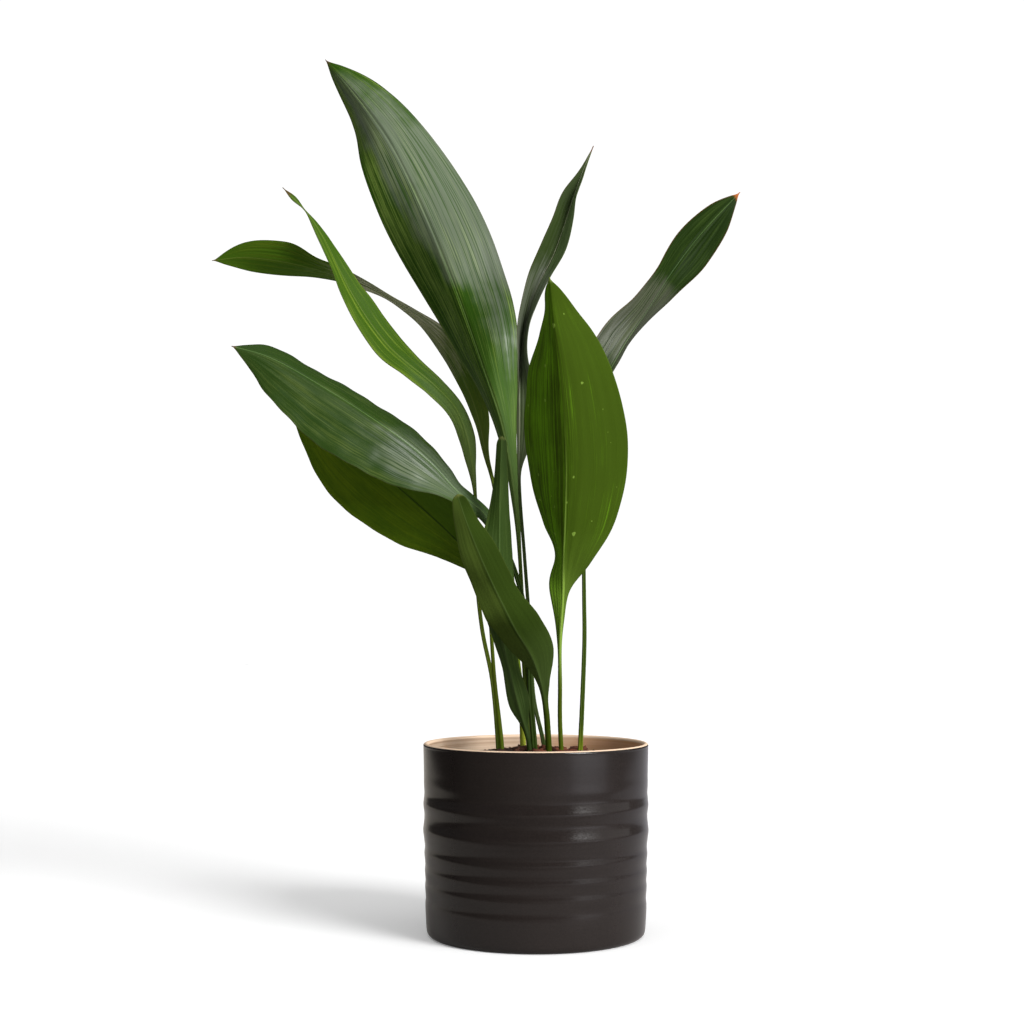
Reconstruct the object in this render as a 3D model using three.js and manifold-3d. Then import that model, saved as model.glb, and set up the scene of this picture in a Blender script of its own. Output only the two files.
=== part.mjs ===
// Potted cast iron plant: ten strap-stalked leaves rising from a rootstock that is
// buried in the soil of a thrown clay pot. Millimetres, +Z up, the viewer stands at -Y.
// The origin is the centre of the pot's flat foot.
import * as THREE from 'three';
import { mergeVertices } from 'three/addons/utils/BufferGeometryUtils.js';
import Module from 'manifold-3d';

const wasm = await Module();
wasm.setup();

// Pot
const potHeight = 152;
const potRadius = 90;
const footRadius = 87;
const footRound = 5;
const potWall = 4;
const potFloor = 6;
const floorRound = 9;
const potSides = 48;
// How much narrower the inside is at the floor than at the rim
const wallTaper = 2.5;
// Heights of the corners of the plain wall, outside under the lip and inside
const neckHeight = 132;
const innerHeights = [110, 60];
// Ridges are cut off this many times their half breadth away from the crest
const ridgeSkirt = 1.3;
// Throwing ridges round the outside: height of the crest, how far it stands out, half its breadth
const ridges = [
  [17, 0.7, 4],
  [34, 0.6, 4],
  [48.5, 0.7, 4],
  [63, 0.7, 4.5],
  [82.3, 1.3, 5.5],
  [104, 0.7, 4.5],
];

// Soil
const pieceGap = 0.3;
// Further gap that the wall's and the soil's corners leave each other
const facetGap = 0.15;
// The soil is heaped up a little to one side of the middle, and falls away to the wall
const soilCrown = 146.5;
const soilEdge = 134;
const soilRound = 1.4;
const heapMiddle = 2;
const soilRings = [74, 62, 50, 38, 26, 14];
const holeGap = 0.4;
const holeTop = 152;
const holeSides = 10;
const chipCount = 44;
const chipReach = 80;
// Chips are cut off outside this ring of heights and near the wall
const chipZone = [20, 170];

// Rootstock
const rootTop = 120.6;
const stalkFoot = 121.2;
const rootDepth = 111;

// Leaf blades
const bladeThickness = 0.8;
const ribDepth = 0.7;
const ribReach = 0.13;
const foldRound = 0.22;
const blendLength = 0.12;
const tipHalf = 0.8;
// Share of the blade over which a blunt tip is rounded
const tipRound = 0.03;
const bladeRings = 18;
const stalkStep = 42;
const ringEase = 0.06;
// Half breadth from which the margin's wave has its full height
const waveHalf = 15;
// Depth left of the stalk's face along its groove
const grooveShare = 0.75;
const curveSteps = 40;
// Eye point from which the leaves' turns are given
const viewer = new THREE.Vector3(-19, -1450, 266);

// Each leaf in turn:
//   front   1 when the upper face is turned to the viewer, -1 when the underside is
//   stalk   radius at the soil and at the blade
//   foot    where the stalk leaves the rootstock, then the way up to the blade
//   blade   the way of the midrib from the stalk to the tip
//   half    half breadth at even steps along the blade
//   left    how far each half is turned towards the viewer, in degrees, at even steps
//   right   (left and right as seen when looking from the stalk to the tip)
//   wave    height of the margin's wave, number of waves, start on the left and on the right
const leaves = [
  {
    name: 'leaf_tall',
    colour: 0x3f6426,
    front: 1,
    stalk: [3.2, 1.6],
    foot: [[-2, 5, stalkFoot], [-3, 6, 146], [-6.5, 8, 185], [-10, 10, 234], [-12, 12, 290]],
    blade: [[-17, 15, 351], [-26, 21, 406], [-43, 33, 459], [-79, 64, 561], [-122, 98, 658],
      [-151, 115, 703], [-185, 130, 746]],
    half: [1.8, 4, 10, 25, 39, 45, 45, 41, 34, 24, 0],
    left: [-30, -50, -60, -70, -65, -55, -40, -25, -20, -45, -30],
    right: [-20, -20, -40, -25, -10, -15, -10, -15, -20, -20, 0],
    wave: [0.6, 3, 0.1, 0.6],
  },
  {
    name: 'leaf_far_left',
    colour: 0x34500f,
    front: -1,
    stalk: [2.5, 1.6],
    foot: [[-9, 19, stalkFoot], [-10, 20, 146], [-12, 25, 193], [-20, 34, 258], [-27, 42, 303],
      [-32, 48, 349]],
    blade: [[-38, 58, 380], [-54, 87, 442], [-85, 114, 496], [-134, 127, 536], [-193, 138, 560],
      [-256, 147, 572], [-288, 152, 570]],
    half: [1.8, 6, 12, 16, 20, 23, 24, 24, 24, 21, 19, 14, 0],
    left: [-60, -60, -70, -70, -70, -70, -80, -85, -80, -70, -50, -30, 0],
    right: [70, 80, 50, 50, 60, 65, 80, 85, 75, 60, 20, 15, 0],
    wave: [0.6, 3, 0.4, 0.9],
  },
  {
    name: 'leaf_slender_left',
    colour: 0x4f8a1d,
    front: 1,
    stalk: [1.9, 1.5],
    foot: [[-29, 7, stalkFoot], [-30, 8, 146], [-35, 14, 201], [-43.5, 20, 243], [-49, 27, 299],
      [-49, 30, 348]],
    blade: [[-56, 35, 400], [-66, 38, 425], [-83, 41, 444], [-123, 44, 479], [-153, 43, 522],
      [-177, 39, 569], [-192, 37, 591], [-210, 34, 609]],
    half: [1.8, 4.5, 6, 8, 10, 11, 12.5, 13.5, 14.5, 15.5, 16, 17, 17, 16.5, 16, 15, 13, 11.5, 10,
      8.5, 6.5, 3.5, 0.6, 2.2, 0],
    left: [30, 35, 45, 50, 50, 50, 45, 50, 50, 55, 45, 30, 0],
    right: [-50, -60, -50, -60, -60, -55, -45, -40, -35, -40, -55, -40, 0],
    wave: [0.4, 3, 0, 0.5],
  },
  {
    name: 'leaf_left_upper',
    colour: 0x2c5620,
    front: 1,
    stalk: [2.6, 2],
    foot: [[0, -2, stalkFoot], [-1, -2, 147], [-4, -3, 186], [-7, -3, 246], [-18, -2, 293]],
    blade: [[-40, -5, 334], [-63, -11, 353], [-84, -17, 375], [-107, -21, 394], [-157, -31, 427],
      [-209, -44, 456], [-238, -52, 464]],
    half: [2.2, 6, 13, 33, 41, 43, 38, 25, 0],
    left: [20, 40, 50, 35, 20, 20, 15, 10, 0],
    right: [-50, -55, -60, -73, -72, -76, -76, -70, -60],
    wave: [1.2, 4, 0.1, 0.6],
  },
  {
    name: 'leaf_left_lower',
    colour: 0x2a4610,
    front: -1,
    stalk: [1.9, 1.4],
    foot: [[-27, -3, stalkFoot], [-27, -2, 147], [-33, -1, 202], [-36, 2, 243], [-38, 4, 266]],
    blade: [[-45, 7, 296], [-67, 11, 318], [-90, 16, 339], [-136, 26, 379], [-183, 38, 419],
      [-207, 46, 439]],
    half: [1.6, 14, 26, 38, 44, 45, 39, 23, 0],
    left: [-30, -30, -35, -25, -20, -20, -20, -20, -20],
    right: [50, 70, 45, 45, 52, 60, 60, 60, 40],
    wave: [0.8, 3, 0.3, 0.8],
  },
  {
    name: 'leaf_front_low',
    colour: 0x3a5212,
    front: -1,
    stalk: [2.6, 2.4],
    foot: [[10, -21, stalkFoot], [10, -22, 149], [9, -25, 165], [8, -28, 178]],
    blade: [[4, -35, 201], [-4, -43, 223], [-16, -52, 243], [-36, -72, 283], [-53, -93, 324],
      [-60, -104, 345]],
    half: [2.4, 7, 19, 21, 17, 16, 14.5, 10, 4.5],
    left: [-60, -60, -52, -47, -15, -23, -15, -18, 0],
    right: [45, 15, 5, 5, -15, -12, -15, -33, 0],
    wave: [0.5, 2.5, 0.2, 0.7],
  },
  {
    name: 'leaf_short_upright',
    colour: 0x34522a,
    front: -1,
    stalk: [2, 2],
    foot: [[-4, -14, stalkFoot], [-5, -14, 147], [-6, -15, 155]],
    blade: [[-14, -17, 185], [-21, -19, 214], [-27, -21, 244], [-29, -25, 304], [-28, -31, 365],
      [-27, -34, 395]],
    half: [2, 9.5, 8, 12.5, 14, 15, 9.5, 6, 4],
    left: [-30, -35, -43, -37, 14, 15, -18, -36, -20],
    right: [30, 20, 22, 12, -28, -47, -35, -18, -20],
    wave: [0.5, 3, 0.6, 0.1],
  },
  {
    name: 'leaf_right_front',
    colour: 0x456c19,
    front: -1,
    stalk: [2, 1.7],
    foot: [[21, -13, stalkFoot], [20, -14, 148], [19, -16, 171], [19, -20, 195]],
    blade: [[19, -26, 234], [21, -34, 270], [22, -42, 305], [23, -60, 375], [18, -84, 442],
      [13, -98, 475], [9, -114, 507]],
    half: [1.7, 2, 4.5, 11, 21, 37, 46, 50, 50, 47, 42, 33, 18, 0],
    left: [-50, -50, -25, -20, -70, -62, -55, -52, -50, -52, -55, -68, -73, -50],
    right: [-60, -60, -65, -65, -15, -15, -17, -17, -17, -20, -25, -32, -38, -20],
    wave: [0.7, 3, 0.4, 0.9],
  },
  {
    name: 'leaf_twisted_top',
    colour: 0x3f5040,
    front: 1,
    stalk: [1.8, 1.3],
    foot: [[6, 4, stalkFoot], [7, 4, 146], [-1.5, 3, 187], [-4, 3, 234], [-9, 2, 302], [-13, 1, 359]],
    blade: [[-13, -2, 408], [-13, -2, 434], [-12, 0, 459], [-3, 5, 508], [17, 14, 553], [32, 25, 599],
      [40, 31, 622], [49, 38, 645]],
    half: [1.3, 8, 12, 14, 16, 16, 15, 15, 15, 13, 10, 3, 0],
    left: [70, 80, 80, 85, 80, 65, 55, 35, 30, 30, 10, 5, 0],
    right: [30, 10, 15, 30, 70, 80, 70, 68, 60, 65, 80, 60, 30],
    wave: [0.4, 3, 0.5, 0],
  },
  {
    name: 'leaf_right_back',
    colour: 0x2f4f1f,
    front: 1,
    stalk: [2.1, 1.6],
    foot: [[35, 7, stalkFoot], [36, 8, 146], [40, 20, 233], [40, 25, 266], [40, 30, 299]],
    blade: [[41, 37, 346], [45, 46, 393], [54, 57, 438], [74, 69, 479], [98, 82, 516], [123, 96, 555],
      [151, 109, 591], [182, 122, 625]],
    half: [1.5, 6, 13, 20, 24, 24, 22, 20, 20.5, 15.5, 0],
    left: [50, 45, 40, 35, 20, 20, 45, 50, 40, 40, 20],
    right: [-55, -60, -65, -68, -82, -83, -77, -45, -5, 15, 0],
    wave: [0.8, 3, 0.2, 0.7],
  },
];

// Solids

function toSolid(geometry) {
  const bare = geometry.clone();
  bare.deleteAttribute('normal');
  bare.deleteAttribute('uv');
  const joined = mergeVertices(bare, 1e-4);
  return new wasm.Manifold(new wasm.Mesh({
    numProp: 3,
    vertProperties: Float32Array.from(joined.attributes.position.array),
    triVerts: Uint32Array.from(joined.index.array),
  }));
}

function toGeometry(solid) {
  const mesh = solid.getMesh();
  const geometry = new THREE.BufferGeometry();
  geometry.setAttribute('position', new THREE.BufferAttribute(Float32Array.from(mesh.vertProperties), 3));
  geometry.setIndex(Array.from(mesh.triVerts));
  return geometry;
}

function joinAll(solids) {
  return solids.reduce((whole, next) => whole.add(next));
}

function lathe(profile, sides) {
  const points = profile.map(([radius, height]) => new THREE.Vector2(radius, height));
  return new THREE.LatheGeometry(points, sides).rotateX(Math.PI / 2);
}

// Seeded random numbers from 0 to 1
function randomFrom(seed) {
  let state = seed;
  return () => {
    state = (state + 0x6d2b79f5) | 0;
    let mixed = Math.imul(state ^ (state >>> 15), 1 | state);
    mixed = (mixed + Math.imul(mixed ^ (mixed >>> 7), 61 | mixed)) ^ mixed;
    return ((mixed ^ (mixed >>> 14)) >>> 0) / 4294967296;
  };
}

// Pot

function outerRadius(height) {
  const taper = footRadius + (potRadius - footRadius) * height / potHeight;
  return ridges.reduce((radius, [crest, rise, reach]) => {
    return radius + rise * Math.exp(-(((height - crest) / reach) ** 2));
  }, taper);
}

function innerRadius(height) {
  const straight = potRadius - potWall - wallTaper * (potHeight - height) / potHeight;
  const above = Math.max(height - potFloor, 0);
  if (above >= floorRound) return straight;
  return straight - floorRound + Math.sqrt(floorRound ** 2 - (floorRound - above) ** 2);
}

function potProfile() {
  const profile = [[0, 0], [footRadius - footRound, 0]];
  for (const angle of [30, 60]) {
    const turn = THREE.MathUtils.degToRad(angle);
    profile.push([footRadius - footRound * (1 - Math.sin(turn)), footRound * (1 - Math.cos(turn))]);
  }
  profile.push([outerRadius(footRound + 2), footRound + 2]);
  for (const [crest, , reach] of ridges) {
    for (const height of [crest - ridgeSkirt * reach, crest, crest + ridgeSkirt * reach]) {
      profile.push([outerRadius(height), height]);
    }
  }
  profile.push([outerRadius(neckHeight), neckHeight]);
  const lip = potWall / 2;
  for (let step = 0; step <= 4; step += 1) {
    const turn = Math.PI * step / 4;
    profile.push([potRadius - lip + lip * Math.cos(turn), potHeight - lip + lip * Math.sin(turn)]);
  }
  for (const height of [...innerHeights, potFloor + floorRound, potFloor + 4, potFloor + 1]) {
    profile.push([innerRadius(height), height]);
  }
  profile.push([innerRadius(potFloor), potFloor], [0, potFloor]);
  return profile;
}

// Leaves

// Smooth reading of evenly spaced values at t from 0 to 1
function readAlong(values, t) {
  const last = values.length - 1;
  const place = THREE.MathUtils.clamp(t, 0, 1) * last;
  const index = Math.min(Math.floor(place), last - 1);
  const part = place - index;
  const from = values[index];
  const to = values[index + 1];
  const before = index > 0 ? values[index - 1] : 2 * from - to;
  const after = index + 2 <= last ? values[index + 2] : 2 * to - from;
  const slopeFrom = (to - before) / 2;
  const slopeTo = (after - from) / 2;
  const square = part * part;
  return from + slopeFrom * part + (3 * (to - from) - 2 * slopeFrom - slopeTo) * square
    + (2 * (from - to) + slopeFrom + slopeTo) * square * part;
}

// The leaf's centre line, read by distance from the stalk's foot
function centreLine(leaf) {
  const points = [...leaf.foot, ...leaf.blade].map((place) => new THREE.Vector3(...place));
  const curve = new THREE.CatmullRomCurve3(points);
  const steps = curveSteps * (points.length - 1);
  const lengths = curve.getLengths(steps);
  const at = (distance) => {
    let index = 0;
    while (index < steps - 1 && lengths[index + 1] < distance) index += 1;
    const part = (distance - lengths[index]) / (lengths[index + 1] - lengths[index]);
    const t = THREE.MathUtils.clamp((index + part) / steps, 0, 1);
    return { point: curve.getPoint(t), ahead: curve.getTangent(t) };
  };
  return { at, bladeStart: lengths[curveSteps * (leaf.foot.length - 1)], length: lengths[steps] };
}

// Axes of a cross-section: to the left as the viewer sees it, and towards the viewer
function crossAxes(point, ahead) {
  const view = point.clone().sub(viewer);
  const side = new THREE.Vector3().crossVectors(ahead, view).normalize();
  return { side, lift: new THREE.Vector3().crossVectors(ahead, side) };
}

// Distances of the cross-sections: even along the stalk, closer together near both blade ends
function sectionDistances(line) {
  const stalkRings = Math.max(2, Math.ceil(line.bladeStart / stalkStep));
  const distances = [];
  for (let ring = 0; ring < stalkRings; ring += 1) {
    distances.push(line.bladeStart * ring / stalkRings);
  }
  for (let ring = 0; ring <= bladeRings; ring += 1) {
    const even = ring / bladeRings;
    const eased = even - ringEase * Math.sin(2 * Math.PI * even);
    distances.push(line.bladeStart + (line.length - line.bladeStart) * eased);
  }
  return distances;
}

// Points across the blade from the left margin (1) to the right margin (-1), with the stalk's angles
const across = [1, 0.55, ribReach, 0, -ribReach, -0.55, -1];
const stalkAngles = [15, 45, 72, 90, 108, 135, 165];

function bladePoint(leaf, share, place, over) {
  const left = readAlong(leaf.left, share);
  const right = readAlong(leaf.right, share);
  const roll = THREE.MathUtils.degToRad((left - right) / 2);
  const fold = THREE.MathUtils.degToRad((left + right) / 2);
  const nearTip = Math.max(share - 1 + tipRound, 0) / tipRound;
  const rounded = readAlong(leaf.half, share) * Math.sqrt(Math.max(1 - nearTip ** 2, 0));
  const half = Math.max(rounded, tipHalf);
  const [height, count, startLeft, startRight] = leaf.wave;
  const start = place > 0 ? startLeft : startRight;
  const wave = height * Math.sin(2 * Math.PI * (count * share + start)) * Math.min(1, half / waveHalf);
  const span = Math.hypot(1, foldRound) - foldRound;
  const away = Math.hypot(place, foldRound);
  let side = half * place * Math.cos(fold);
  let lift = half * Math.sin(fold) * (away - foldRound) / span + wave * place ** 2;
  const slopeLift = half * Math.sin(fold) * place / away / span + 2 * wave * place;
  const slopeSide = half * Math.cos(fold);
  const slope = Math.hypot(slopeLift, slopeSide);
  const rib = ribDepth * (1 - share) * Math.max(0, 1 - Math.abs(place) / (2 * ribReach));
  const depth = over === leaf.front ? bladeThickness / 2 : bladeThickness / 2 + rib;
  side -= over * depth * slopeLift / slope;
  lift += over * depth * slopeSide / slope;
  return [side * Math.cos(roll) - lift * Math.sin(roll), side * Math.sin(roll) + lift * Math.cos(roll)];
}

// One closed ring of points round the centre line
function sectionRing(leaf, line, distance) {
  const { point, ahead } = line.at(distance);
  const { side, lift } = crossAxes(point, ahead);
  const share = (distance - line.bladeStart) / (line.length - line.bladeStart);
  const blend = THREE.MathUtils.smoothstep(share, 0, blendLength);
  const up = THREE.MathUtils.clamp(distance / line.bladeStart, 0, 1);
  const radius = THREE.MathUtils.lerp(leaf.stalk[0], leaf.stalk[1], up);
  const ring = [];
  for (const over of [1, -1]) {
    const order = over === 1 ? [...across.keys()] : [...across.keys()].reverse();
    for (const index of order) {
      const turn = THREE.MathUtils.degToRad(stalkAngles[index]);
      const groove = over === leaf.front && across[index] === 0 ? grooveShare : 1;
      const stalk = [radius * Math.cos(turn), over * radius * groove * Math.sin(turn)];
      const blade = blend > 0 ? bladePoint(leaf, Math.max(share, 0), across[index], over) : stalk;
      ring.push(point.clone()
        .addScaledVector(side, THREE.MathUtils.lerp(stalk[0], blade[0], blend))
        .addScaledVector(lift, THREE.MathUtils.lerp(stalk[1], blade[1], blend)));
    }
  }
  return ring;
}

// Rings joined into one closed skin; both faces of a blade are split along the same diagonals
function skinRings(rings) {
  const size = rings[0].length;
  const position = rings.flat().flatMap((point) => point.toArray());
  const index = [];
  for (let row = 0; row < rings.length - 1; row += 1) {
    for (let column = 0; column < size; column += 1) {
      const next = (column + 1) % size;
      const near = row * size;
      const far = near + size;
      if (column < size / 2) {
        index.push(near + column, near + next, far + next, near + column, far + next, far + column);
      } else {
        index.push(near + column, near + next, far + column, near + next, far + next, far + column);
      }
    }
  }
  // Each end is closed by strips between the two faces
  const end = (rings.length - 1) * size;
  for (let column = 0; column < size / 2 - 1; column += 1) {
    const mirror = size - 1 - column;
    index.push(column, mirror, mirror - 1, column, mirror - 1, column + 1);
    index.push(end + column, end + mirror - 1, end + mirror);
    index.push(end + column, end + column + 1, end + mirror - 1);
  }
  const geometry = new THREE.BufferGeometry();
  geometry.setAttribute('position', new THREE.Float32BufferAttribute(position, 3));
  geometry.setIndex(index);
  return geometry;
}

function leafGeometry(leaf) {
  const line = centreLine(leaf);
  return skinRings(sectionDistances(line).map((distance) => sectionRing(leaf, line, distance)));
}

// Round tube of the stalk's way through the soil, with the stalk's own bends
function holeSolid(leaf) {
  const line = centreLine(leaf);
  const radius = leaf.stalk[0] + holeGap;
  const distances = sectionDistances(line);
  const leaving = distances.findIndex((distance) => line.at(distance).point.z > holeTop);
  const rings = distances.slice(0, leaving + 1).map((distance) => {
    const { point, ahead } = line.at(distance);
    if (distance === 0) point.z -= holeGap;
    const { side, lift } = crossAxes(point, ahead);
    return [...Array(holeSides).keys()].map((step) => {
      const turn = 2 * Math.PI * (step + 0.5) / holeSides;
      return point.clone()
        .addScaledVector(side, radius * Math.cos(turn))
        .addScaledVector(lift, radius * Math.sin(turn));
    });
  });
  return toSolid(skinRings(rings));
}

// Rootstock

function limb(from, to, radius) {
  const start = new THREE.Vector3(...from);
  const way = new THREE.Vector3(...to).sub(start);
  const capsule = new THREE.CapsuleGeometry(radius, way.length(), 2, 9);
  capsule.applyQuaternion(new THREE.Quaternion().setFromUnitVectors(
    new THREE.Vector3(0, 1, 0), way.clone().normalize()));
  capsule.translate(...start.addScaledVector(way, 0.5).toArray());
  return toSolid(capsule);
}

function rootstock(grow) {
  const limbs = [
    [[-28, 3, rootDepth], [-8, 3, rootDepth - 2], 6],
    [[-8, 3, rootDepth - 2], [12, -3, rootDepth], 7],
    [[12, -3, rootDepth], [34, 6, rootDepth - 1], 6],
    [[-7, 2, rootDepth - 1], [-9, 18, rootDepth], 5.5],
    [[-3, 0, rootDepth - 1], [-4, -13, rootDepth], 5.5],
    [[9, -3, rootDepth - 1], [10, -20, rootDepth], 5.5],
    [[12, -3, rootDepth - 1], [20, -12, rootDepth], 5.5],
  ].map(([from, to, radius]) => limb(from, to, radius + grow));
  const shoots = leaves.map((leaf) => {
    const [x, y] = leaf.foot[0];
    const height = rootTop - rootDepth + grow;
    const radius = leaf.stalk[0] + grow;
    const shoot = new THREE.CylinderGeometry(radius + 0.8, radius + 2, height, 8);
    shoot.rotateX(Math.PI / 2).translate(x, y, rootDepth + height / 2);
    return toSolid(shoot);
  });
  return joinAll([...limbs, ...shoots]);
}

// Soil

function soilHeight(x, y) {
  const out = Math.min(Math.hypot(x - heapMiddle, y) / (innerRadius(soilEdge) - pieceGap), 1);
  return soilCrown - (soilCrown - soilEdge) * out ** soilRound;
}

function soilBody() {
  const profile = [[0, potFloor + pieceGap], [innerRadius(potFloor) - pieceGap, potFloor + pieceGap]];
  const wallHeights = [...innerHeights].reverse();
  for (const height of [potFloor + 1, potFloor + 4, potFloor + floorRound, ...wallHeights, soilEdge]) {
    const lift = height <= potFloor + floorRound ? pieceGap : 0;
    profile.push([innerRadius(height) - pieceGap - facetGap, height + lift]);
  }
  profile.push(...soilRings.map((radius) => [radius, soilCrown]), [0, soilCrown]);
  const body = lathe(profile, potSides);
  const place = body.attributes.position;
  for (let point = 0; point < place.count; point += 1) {
    if (place.getZ(point) > soilEdge - pieceGap) {
      place.setZ(point, soilHeight(place.getX(point), place.getY(point)));
    }
  }
  return toSolid(body);
}

// Bark chips lie in a sunflower pattern, each turned and tilted at random and sunk in the soil
function barkChips() {
  const random = randomFrom(7);
  const spread = (low, high) => low + (high - low) * random();
  const goldenTurn = Math.PI * (3 - Math.sqrt(5));
  return [...Array(chipCount).keys()].map((step) => {
    const radius = chipReach * Math.sqrt((step + 0.5) / chipCount);
    const turn = goldenTurn * step;
    const length = spread(10, 18);
    const chip = new THREE.BoxGeometry(length, length * spread(0.45, 0.75), spread(5, 8));
    const corners = mergeVertices(chip.deleteAttribute('normal').deleteAttribute('uv'), 1e-4);
    const place = corners.attributes.position;
    for (let corner = 0; corner < place.count; corner += 1) {
      place.setXYZ(corner, place.getX(corner) * spread(0.75, 1), place.getY(corner) * spread(0.7, 1),
        place.getZ(corner) * spread(0.8, 1));
    }
    corners.rotateX(spread(-0.3, 0.3)).rotateY(spread(-0.3, 0.3)).rotateZ(spread(0, Math.PI));
    const sink = radius > 70 ? 1.5 : 0.6;
    const x = radius * Math.cos(turn);
    const y = radius * Math.sin(turn);
    corners.translate(x, y, soilHeight(x, y) - sink);
    return toSolid(corners);
  });
}

// Assembly

const assembly = new THREE.Group();

function addPiece(name, geometry, colour, roughness) {
  const material = new THREE.MeshStandardMaterial({ color: colour, roughness, metalness: 0 });
  const piece = new THREE.Mesh(geometry, material);
  piece.name = name;
  assembly.add(piece);
}

addPiece('pot', lathe(potProfile(), potSides), 0x322e2b, 0.45);

const [zoneFoot, zoneTop] = chipZone;
const zoneRadius = innerRadius(120) - pieceGap - holeGap;
const zoneProfile = [[0, zoneFoot], [zoneRadius, zoneFoot], [zoneRadius, zoneTop], [0, zoneTop]];
const zone = toSolid(lathe(zoneProfile, potSides));
const toppedSoil = joinAll([soilBody(), ...barkChips().map((chip) => chip.intersect(zone))]);
const soilCuts = joinAll([rootstock(holeGap), ...leaves.map(holeSolid)]);
// A stalk's hole can cut a chip's corner loose, and only the soil itself is kept
const soilParts = toppedSoil.subtract(soilCuts).decompose();
soilParts.sort((one, other) => other.volume() - one.volume());
addPiece('soil', toGeometry(soilParts[0]), 0x3a2218, 0.95);

addPiece('rootstock', toGeometry(rootstock(0)), 0x9a7b52, 0.8);

for (const leaf of leaves) {
  addPiece(leaf.name, leafGeometry(leaf), leaf.colour, leaf.front === 1 ? 0.35 : 0.6);
}

export default assembly;
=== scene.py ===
import math
from functools import reduce

import bpy
import numpy as np
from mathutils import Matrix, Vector


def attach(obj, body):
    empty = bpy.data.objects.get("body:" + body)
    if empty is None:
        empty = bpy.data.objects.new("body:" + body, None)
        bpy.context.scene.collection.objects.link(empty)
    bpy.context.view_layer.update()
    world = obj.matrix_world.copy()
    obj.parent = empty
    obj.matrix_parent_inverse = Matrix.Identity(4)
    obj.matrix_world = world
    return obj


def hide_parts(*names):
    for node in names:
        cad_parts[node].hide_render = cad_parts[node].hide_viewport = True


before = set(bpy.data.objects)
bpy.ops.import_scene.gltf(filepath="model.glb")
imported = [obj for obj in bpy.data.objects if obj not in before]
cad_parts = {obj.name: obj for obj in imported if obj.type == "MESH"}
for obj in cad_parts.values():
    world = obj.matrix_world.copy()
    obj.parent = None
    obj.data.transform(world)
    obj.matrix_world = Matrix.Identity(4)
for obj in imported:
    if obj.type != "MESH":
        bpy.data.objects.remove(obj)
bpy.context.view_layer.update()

mm = 0.001
print("frame loaded:", len(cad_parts), "nodes")


# Small helpers

patternSpan = (0.3, 0.7)  # where a noise pattern's low and high ends are read


# Linear colour from a text with two hex digits for each channel
def colourOf(text):
    parts = [int(text[i:i + 2], 16) / 255 for i in (0, 2, 4)]
    return tuple(((p + 0.055) / 1.055) ** 2.4 if p > 0.04045 else p / 12.92 for p in parts) + (1.0,)


def connect(tree, value, socket):
    if isinstance(value, bpy.types.NodeSocket):
        tree.links.new(value, socket)
    else:
        socket.default_value = value


def addNode(tree, kind, inputs=None, **settings):
    node = tree.nodes.new(kind)
    for name, value in settings.items():
        setattr(node, name, value)
    for key, value in (inputs or {}).items():
        connect(tree, value, node.inputs[key])
    return node


def calc(tree, operation, *values):
    node = addNode(tree, "ShaderNodeMath", operation=operation)
    for socket, value in zip(node.inputs, values):
        connect(tree, value, socket)
    return node.outputs[0]


def times(tree, *values):
    return reduce(lambda first, second: calc(tree, "MULTIPLY", first, second), values)


def plus(tree, *values):
    return reduce(lambda first, second: calc(tree, "ADD", first, second), values)


# How far a noise value lies from its middle, times a weight
def swing(tree, value, weight=1.0):
    return times(tree, calc(tree, "SUBTRACT", value, 0.5), weight)


# Several patterns added up, each by its weight
def weighted(tree, patterns, weights):
    return plus(tree, *(times(tree, patterns[name], weight) for name, weight in weights.items()))


def ramp(tree, value, low, high, atLow=0.0, atHigh=1.0):
    return addNode(tree, "ShaderNodeMapRange", {
        "Value": value, "From Min": low, "From Max": high, "To Min": atLow, "To Max": atHigh,
    }, interpolation_type="SMOOTHSTEP").outputs[0]


def blendColour(tree, factor, first, second):
    return addNode(tree, "ShaderNodeMix", {0: factor, 6: first, 7: second}, data_type="RGBA").outputs[2]


def vectorCalc(tree, operation, first, second):
    node = addNode(tree, "ShaderNodeVectorMath", {
        0: first, "Scale" if operation == "SCALE" else 1: second}, operation=operation)
    return node.outputs["Value" if operation == "DISTANCE" else "Vector"]


def noise(tree, vector, scale, detail=2.0, rough=0.5):
    return addNode(tree, "ShaderNodeTexNoise", {
        "Vector": vector, "Scale": scale, "Detail": detail, "Roughness": rough,
    }).outputs[0]


def split(tree, vector):
    return addNode(tree, "ShaderNodeSeparateXYZ", {0: vector}).outputs


def combine(tree, *values):
    return addNode(tree, "ShaderNodeCombineXYZ", dict(enumerate(values))).outputs[0]


# Noise over three values, each stretched by a scale of its own
def drawnNoise(tree, values, scales, detail=2.0, rough=0.5):
    places = (times(tree, value, scale) for value, scale in zip(values, scales))
    return noise(tree, combine(tree, *places), 1.0, detail, rough)


def objectPlace(tree):
    return addNode(tree, "ShaderNodeTexCoord").outputs["Object"]


# Sockets are named with their kind, or with a starting value where they are numbers
def newGroup(name, kind, inputs, outputs):
    tree = bpy.data.node_groups.new(name, kind)
    for direction, sockets in (("INPUT", inputs), ("OUTPUT", outputs)):
        for label, start in sockets.items():
            isNumber = isinstance(start, float)
            socket = tree.interface.new_socket(
                name=label, in_out=direction, socket_type="NodeSocket" + ("Float" if isNumber else start))
            if isNumber:
                socket.default_value = start
    return tree, tree.nodes.new("NodeGroupInput").outputs, tree.nodes.new("NodeGroupOutput").inputs


def placeGroup(tree, group, values):
    node = addNode(tree, "ShaderNodeGroup", node_tree=group)
    for name, value in values.items():
        connect(tree, value, node.inputs[name])
    return node.outputs


def newMaterial(name, **values):
    material = bpy.data.materials.new(name)
    material.use_nodes = True
    tree = material.node_tree
    shader = tree.nodes["Principled BSDF"]
    for label, value in values.items():
        shader.inputs[label.replace("_", " ")].default_value = value
    return material, tree, shader


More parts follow.
